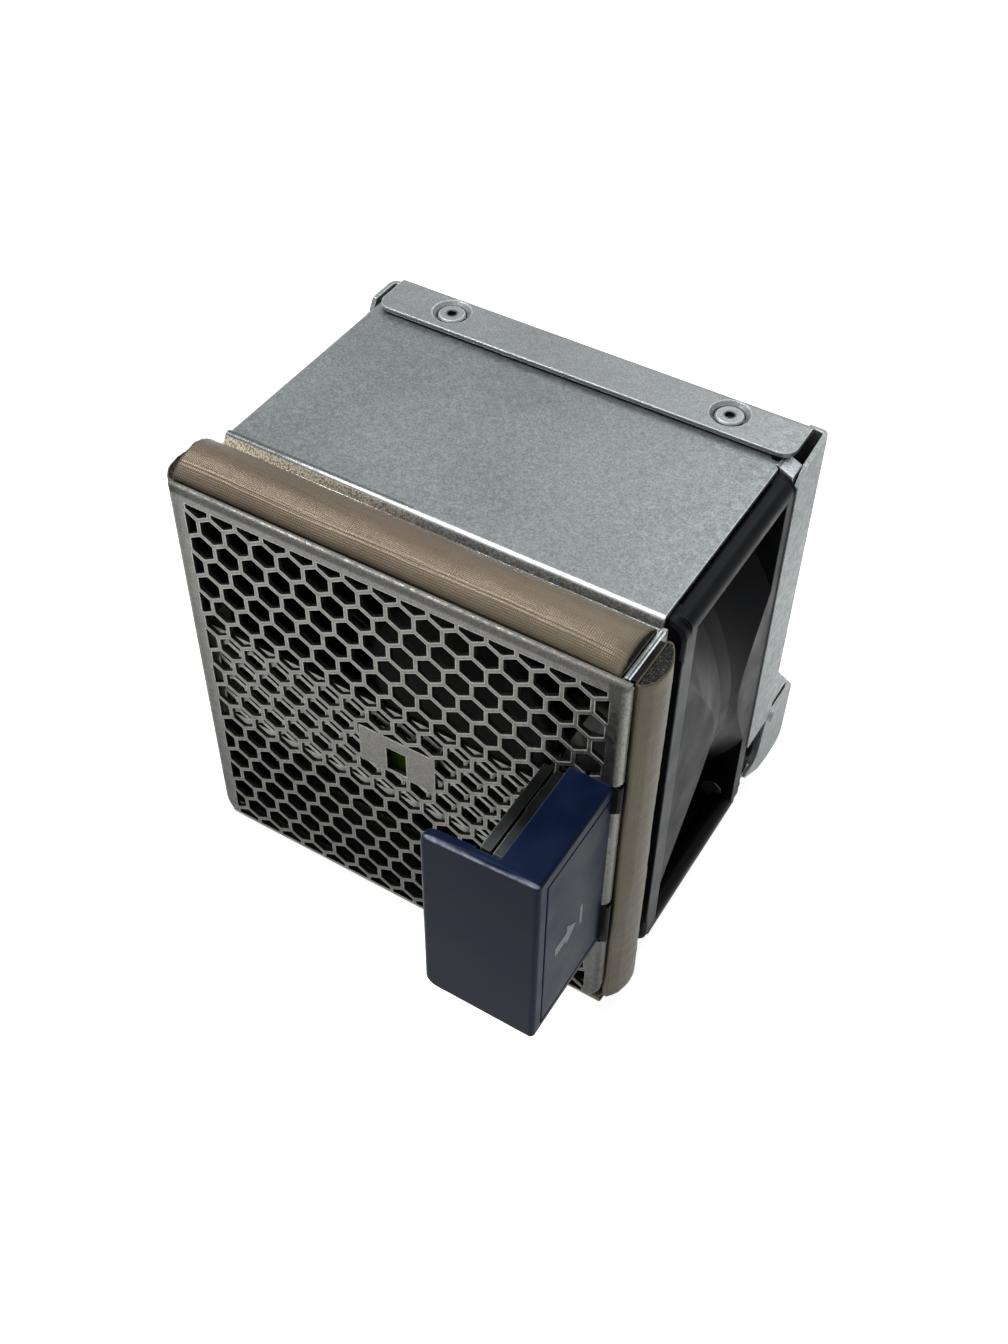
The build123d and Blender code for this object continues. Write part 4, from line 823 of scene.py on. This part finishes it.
# The fold lies this far in front of the cloth's middle and drifts slowly to and fro
FOLD_OFFSET, FOLD_HEIGHT, FOLD_WIDTH = 3.0, 0.06, 0.5
DRIFT_SCALE, DRIFT_SEED, DRIFT = 0.05, 3, 0.25
RAGGED_SCALE, RAGGED = 1.7, 0.12
# Base of the soft falls of fold and pinch, and the length over which the pinch fades
FALL_BASE, PINCH_FADE = 2.718, 2.5
# Room between skin and core, depth of the core's ends, its grid and how much more it is pinched
CORE_GAP, CORE_END, CORE_COLUMN, CORE_ROWS, CORE_PINCH = 0.1, 0.1, 0.16, 16, 1.15
PORE_SCALE, PORE_DEPTH, PORE_WIDTH, PORE_MARGIN = 2.1, 0.5, 0.55, 0.05
GRIT_SCALE, GRIT_DEPTH = 5, 0.12
CLOTH_SEED, FOAM_SEED = 31.0, 17.0
RIGHT, BACK, UP = (1, 0, 0), (0, 1, 0), (0, 0, 1)
LEFT, DOWN = (-1, 0, 0), (0, 0, -1)


class Seat:
    """Where a gasket sits and how it is shaped, across (u), up (v) and along (w)."""

    def __init__(self, origin, ways, width, height, length, rear_drop=0.0, pinch=0.0, pressed=False):
        turn = Matrix(ways).transposed().to_4x4()
        self.matrix = Matrix.Translation(Vector(origin) * MM) @ turn @ Matrix.Scale(MM, 4)
        self.width = width
        self.height = height
        self.length = length
        self.rear_drop = rear_drop
        self.pinch = pinch
        self.pressed = pressed

    def crown(self, u, inset):
        """Height of the section at u, from its middle."""
        half = self.width / 2
        top = self.height - inset
        if self.pressed:
            corner = self.height * PRESSED_CORNER
            past = max(0.0, abs(u) - (half - corner))
            return top - corner + sqrt(max(0.0, corner**2 - past**2))
        rise = self.height - SIDE_HEIGHT
        radius = (half**2 + rise**2) / (2 * rise)
        drop = self.rear_drop * max(0.0, u / half) ** 2
        return top - drop - radius + sqrt(max(0.0, radius**2 - u * u))


SEATS = {
    "top": Seat((-40.7, 7.15, 82.2), (BACK, UP, RIGHT), 11.1, 3.8, 77.2, rear_drop=0.6, pinch=0.3),
    "bottom": Seat((-40.7, 7.4, 2.4), (BACK, DOWN, RIGHT), 11.6, 2.4, 79.1, pressed=True),
    "right": Seat((38.7, 6.9, 3.15), (BACK, RIGHT, UP), 9.6, 2.8, 79.2),
    "left": Seat((-41.2, 6.9, 3.15), (BACK, LEFT, UP), 9.6, 2.8, 79.2),
}


def wrinkle(u, w, seed, strength):
    """Soft waves, short puckers and one fold along the cloth."""
    lift = 0.0
    for scale_along, scale_across, step, height in WRINKLES:
        lift += noise.noise(Vector((w * scale_along, u * scale_across, seed + step))) * height
    drift = noise.noise(Vector((w * DRIFT_SCALE, 0.0, seed + DRIFT_SEED))) * DRIFT
    fold = FOLD_HEIGHT * FALL_BASE ** (-(((u + FOLD_OFFSET - drift) / FOLD_WIDTH) ** 2))
    return strength * (lift + fold)


def cloth_section(bm, seat):
    """Closed outline of the cloth at the gasket's near end."""
    half = seat.width / 2
    places = ((-half, 0, 0), (half, 0, 0), (half, 1, 0), (-half, 1, 0))
    corners = [bm.verts.new(place) for place in places]
    rim = [bm.edges.new((corners[index], corners[(index + 1) % 4])) for index in range(4)]
    bmesh.ops.subdivide_edges(bm, edges=[rim[2]], cuts=TOP_CUTS)
    bmesh.ops.subdivide_edges(bm, edges=[rim[0]], cuts=BOTTOM_CUTS)
    bmesh.ops.subdivide_edges(bm, edges=[rim[1], rim[3]], cuts=SIDE_CUTS)
    # The start is 1 high, so its top row is above 0.9 and its middle row above 0.1
    for vert in bm.verts:
        if vert.co.y > 0.9:
            vert.co.y = seat.crown(vert.co.x, 0.0)
        elif vert.co.y > 0.1:
            vert.co.y = seat.crown(vert.co.x, 0.0) / 2


def make_cloth(name, node, seat, material, seed):
    """Cloth skin of a gasket: a wrinkled, crowned tube with open, slightly ragged ends."""
    strength = PRESSED_WRINKLES if seat.pressed else FREE_WRINKLES
    ceiling = seat.height + (PRESSED_RISE if seat.pressed else FREE_RISE)
    bm = bmesh.new()
    cloth_section(bm, seat)
    pulled = bmesh.ops.extrude_edge_only(bm, edges=bm.edges[:])
    bmesh.ops.translate(bm, verts=verts_of(pulled), vec=(0, 0, seat.length))
    long_edges = [edge for edge in bm.edges if abs(edge.verts[0].co.z - edge.verts[1].co.z) > 1]
    steps = int(seat.length / CLOTH_STEP)
    bmesh.ops.subdivide_edges(bm, edges=long_edges, cuts=steps, use_grid_fill=True)
    for vert in bm.verts:
        u, v, w = vert.co
        if v > GLUE_HEIGHT:
            free = min(1.0, v / FREE_HEIGHT)
            lift = wrinkle(u, w, seed, strength) * free
            vert.co.y = min(v + lift, ceiling)
            vert.co.y *= 1 - seat.pinch * FALL_BASE ** ((w - seat.length) / PINCH_FADE)
        end = min(w, seat.length - w)
        if end < 0.01:
            vert.co.z += RAGGED * noise.noise(Vector((u * RAGGED_SCALE, v * RAGGED_SCALE, seed + w)))
    bmesh.ops.transform(bm, matrix=seat.matrix, verts=bm.verts)
    outward(bm)
    cloth = mesh_object(name, bm, material, smooth=True)
    wall = cloth.modifiers.new("cloth_thickness", "SOLIDIFY")
    wall.thickness = SKIN * MM
    wall.offset = -1.0
    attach(cloth, "root")
    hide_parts(node)


def make_foam(name, node, seat, material, seed):
    """Foam core of a gasket, with pores open at both cut ends."""
    inset = SKIN + CORE_GAP
    half = seat.width / 2 - inset
    bm = bmesh.new()
    columns = int(2 * half / CORE_COLUMN)
    bmesh.ops.create_grid(bm, x_segments=columns, y_segments=CORE_ROWS, size=1.0)
    for vert in bm.verts:
        u = vert.co.x * half
        share = (vert.co.y + 1) / 2
        top = seat.crown(u, inset)
        vert.co = (u, inset + share * (top - inset), CORE_END)
    pulled = bmesh.ops.extrude_face_region(bm, geom=bm.faces[:])
    bmesh.ops.translate(bm, verts=verts_of(pulled), vec=(0, 0, seat.length - 2 * CORE_END))
    for vert in bm.verts:
        u, v, w = vert.co
        inside = min(half - abs(u), v - inset, seat.crown(u, inset) - v)
        if inside > PORE_MARGIN:
            near = noise.voronoi(Vector((u * PORE_SCALE, v * PORE_SCALE, seed + w)))[0]
            grit = abs(noise.noise(Vector((u * GRIT_SCALE, v * GRIT_SCALE, seed))))
            depth = PORE_DEPTH * max(0.0, PORE_WIDTH - near[0]) + GRIT_DEPTH * grit
            vert.co.z += depth if w < 1 else -depth
        if w > 1:
            vert.co.y = inset + (v - inset) * (1 - CORE_PINCH * seat.pinch)
    bmesh.ops.transform(bm, matrix=seat.matrix, verts=bm.verts)
    outward(bm)
    foam = mesh_object(name, bm, material)
    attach(foam, "root")
    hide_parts(node)


def make_gaskets():
    """Roof, floor, right and left gaskets at their CAD places."""
    across = make_cloth_across()
    upright = make_cloth_upright()
    foam = make_foam_finish()
    for index, (side, seat) in enumerate(SEATS.items()):
        cloth = across if side in ("top", "bottom") else upright
        make_cloth(side + "_gasket_skin", side + "_gasket_cloth", seat, cloth, index * CLOTH_SEED)
        make_foam(side + "_gasket_core", side + "_gasket_foam", seat, foam, index * FOAM_SEED)


# Printed mark, leaf spring and lamp window, in millimetres until scaled

MARK_X, MARK_Y, MARK_Z = 37.9, -15.1, 36.0
MARK_THICKNESS = 0.03
MARK_ARROW = ((0, 1.2), (3.5, 1.2), (3.5, 0), (6.4, 2.5), (3.5, 4.9), (3.5, 3.4), (0, 3.4))
MARK_BAR = ((7.5, 0.3), (8.25, 0.3), (8.25, 5.4), (7.5, 5.4))
WINDOW_SIZE = (5.4, 0.4, 7.0)
WINDOW_PLACE = (-1.0, 1.35, 42.1)
WINDOW_EDGE = 0.1


def make_mark_ink():
    """Pale worn ink."""
    finish = Finish("mark_ink", roughness=0.5)
    worn = finish.noise(size_mm=0.35, detail=4.0)
    finish.paint(finish.mix(finish.rise(worn), (0.16, 0.17, 0.2), (0.3, 0.32, 0.36)))
    finish.relief(worn, depth_mm=0.01)
    return finish.material


def make_airflow_mark():
    """Printed arrow and bar on the handle's side, with no letters."""
    bm = bmesh.new()
    for outline in (MARK_ARROW, MARK_BAR):
        face = bm.faces.new([bm.verts.new((MARK_X, MARK_Y + y, MARK_Z + z)) for y, z in outline])
        pulled = bmesh.ops.extrude_face_region(bm, geom=[face])
        bmesh.ops.translate(bm, verts=verts_of(pulled), vec=(MARK_THICKNESS, 0, 0))
    bmesh.ops.scale(bm, vec=(MM, MM, MM), verts=bm.verts)
    outward(bm)
    mark = mesh_object("airflow_mark", bm, make_mark_ink())
    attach(mark, "root")


def make_lever_spring():
    """Leaf spring between lever and handle wall, copied from the CAD spring as it is."""
    bm = bmesh.new()
    bm.from_mesh(nodes["lever_spring"].data)
    outward(bm)
    spring = mesh_object("leaf_spring", bm, bpy.data.materials["spring_metal"])
    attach(spring, "root")
    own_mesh(spring)
    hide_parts("lever_spring")


def make_window_green():
    """Dark green behind the window, nearly black at its left."""
    finish = Finish("window_green", roughness=0.6)
    blur = finish.noise(size_mm=1.5)
    light = finish.rise(finish.along("X"), -3.2, 0.2)
    light = finish.both(light, finish.spread(blur, 0.7, 1.0))
    finish.level("Specular IOR Level", 0.0)
    finish.paint(finish.mix(light, (0.002, 0.002, 0.001), (0.04, 0.068, 0.004)))
    finish.relief(blur, depth_mm=0.03)
    return finish.material


def make_lamp_window():
    """Green plate close behind the window of the faceplate."""
    bm = bmesh.new()
    bmesh.ops.create_cube(bm, size=1.0)
    bmesh.ops.scale(bm, vec=WINDOW_SIZE, verts=bm.verts)
    bmesh.ops.bevel(bm, geom=bm.edges, offset=WINDOW_EDGE, segments=2, affect="EDGES")
    bmesh.ops.translate(bm, vec=WINDOW_PLACE, verts=bm.verts)
    bmesh.ops.scale(bm, vec=(MM, MM, MM), verts=bm.verts)
    outward(bm)
    window = mesh_object("lamp_window", bm, make_window_green())
    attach(window, "root")


make_camera()
make_world()
make_floor()
for lamp_name, lamp_place, lamp_size, lamp_power in LAMPS:
    make_lamp(lamp_name, lamp_place, lamp_size, lamp_power)
dress_nodes()
make_gaskets()
make_airflow_mark()
make_lever_spring()
make_lamp_window()

bpy.context.scene.view_settings.view_transform = "Standard"
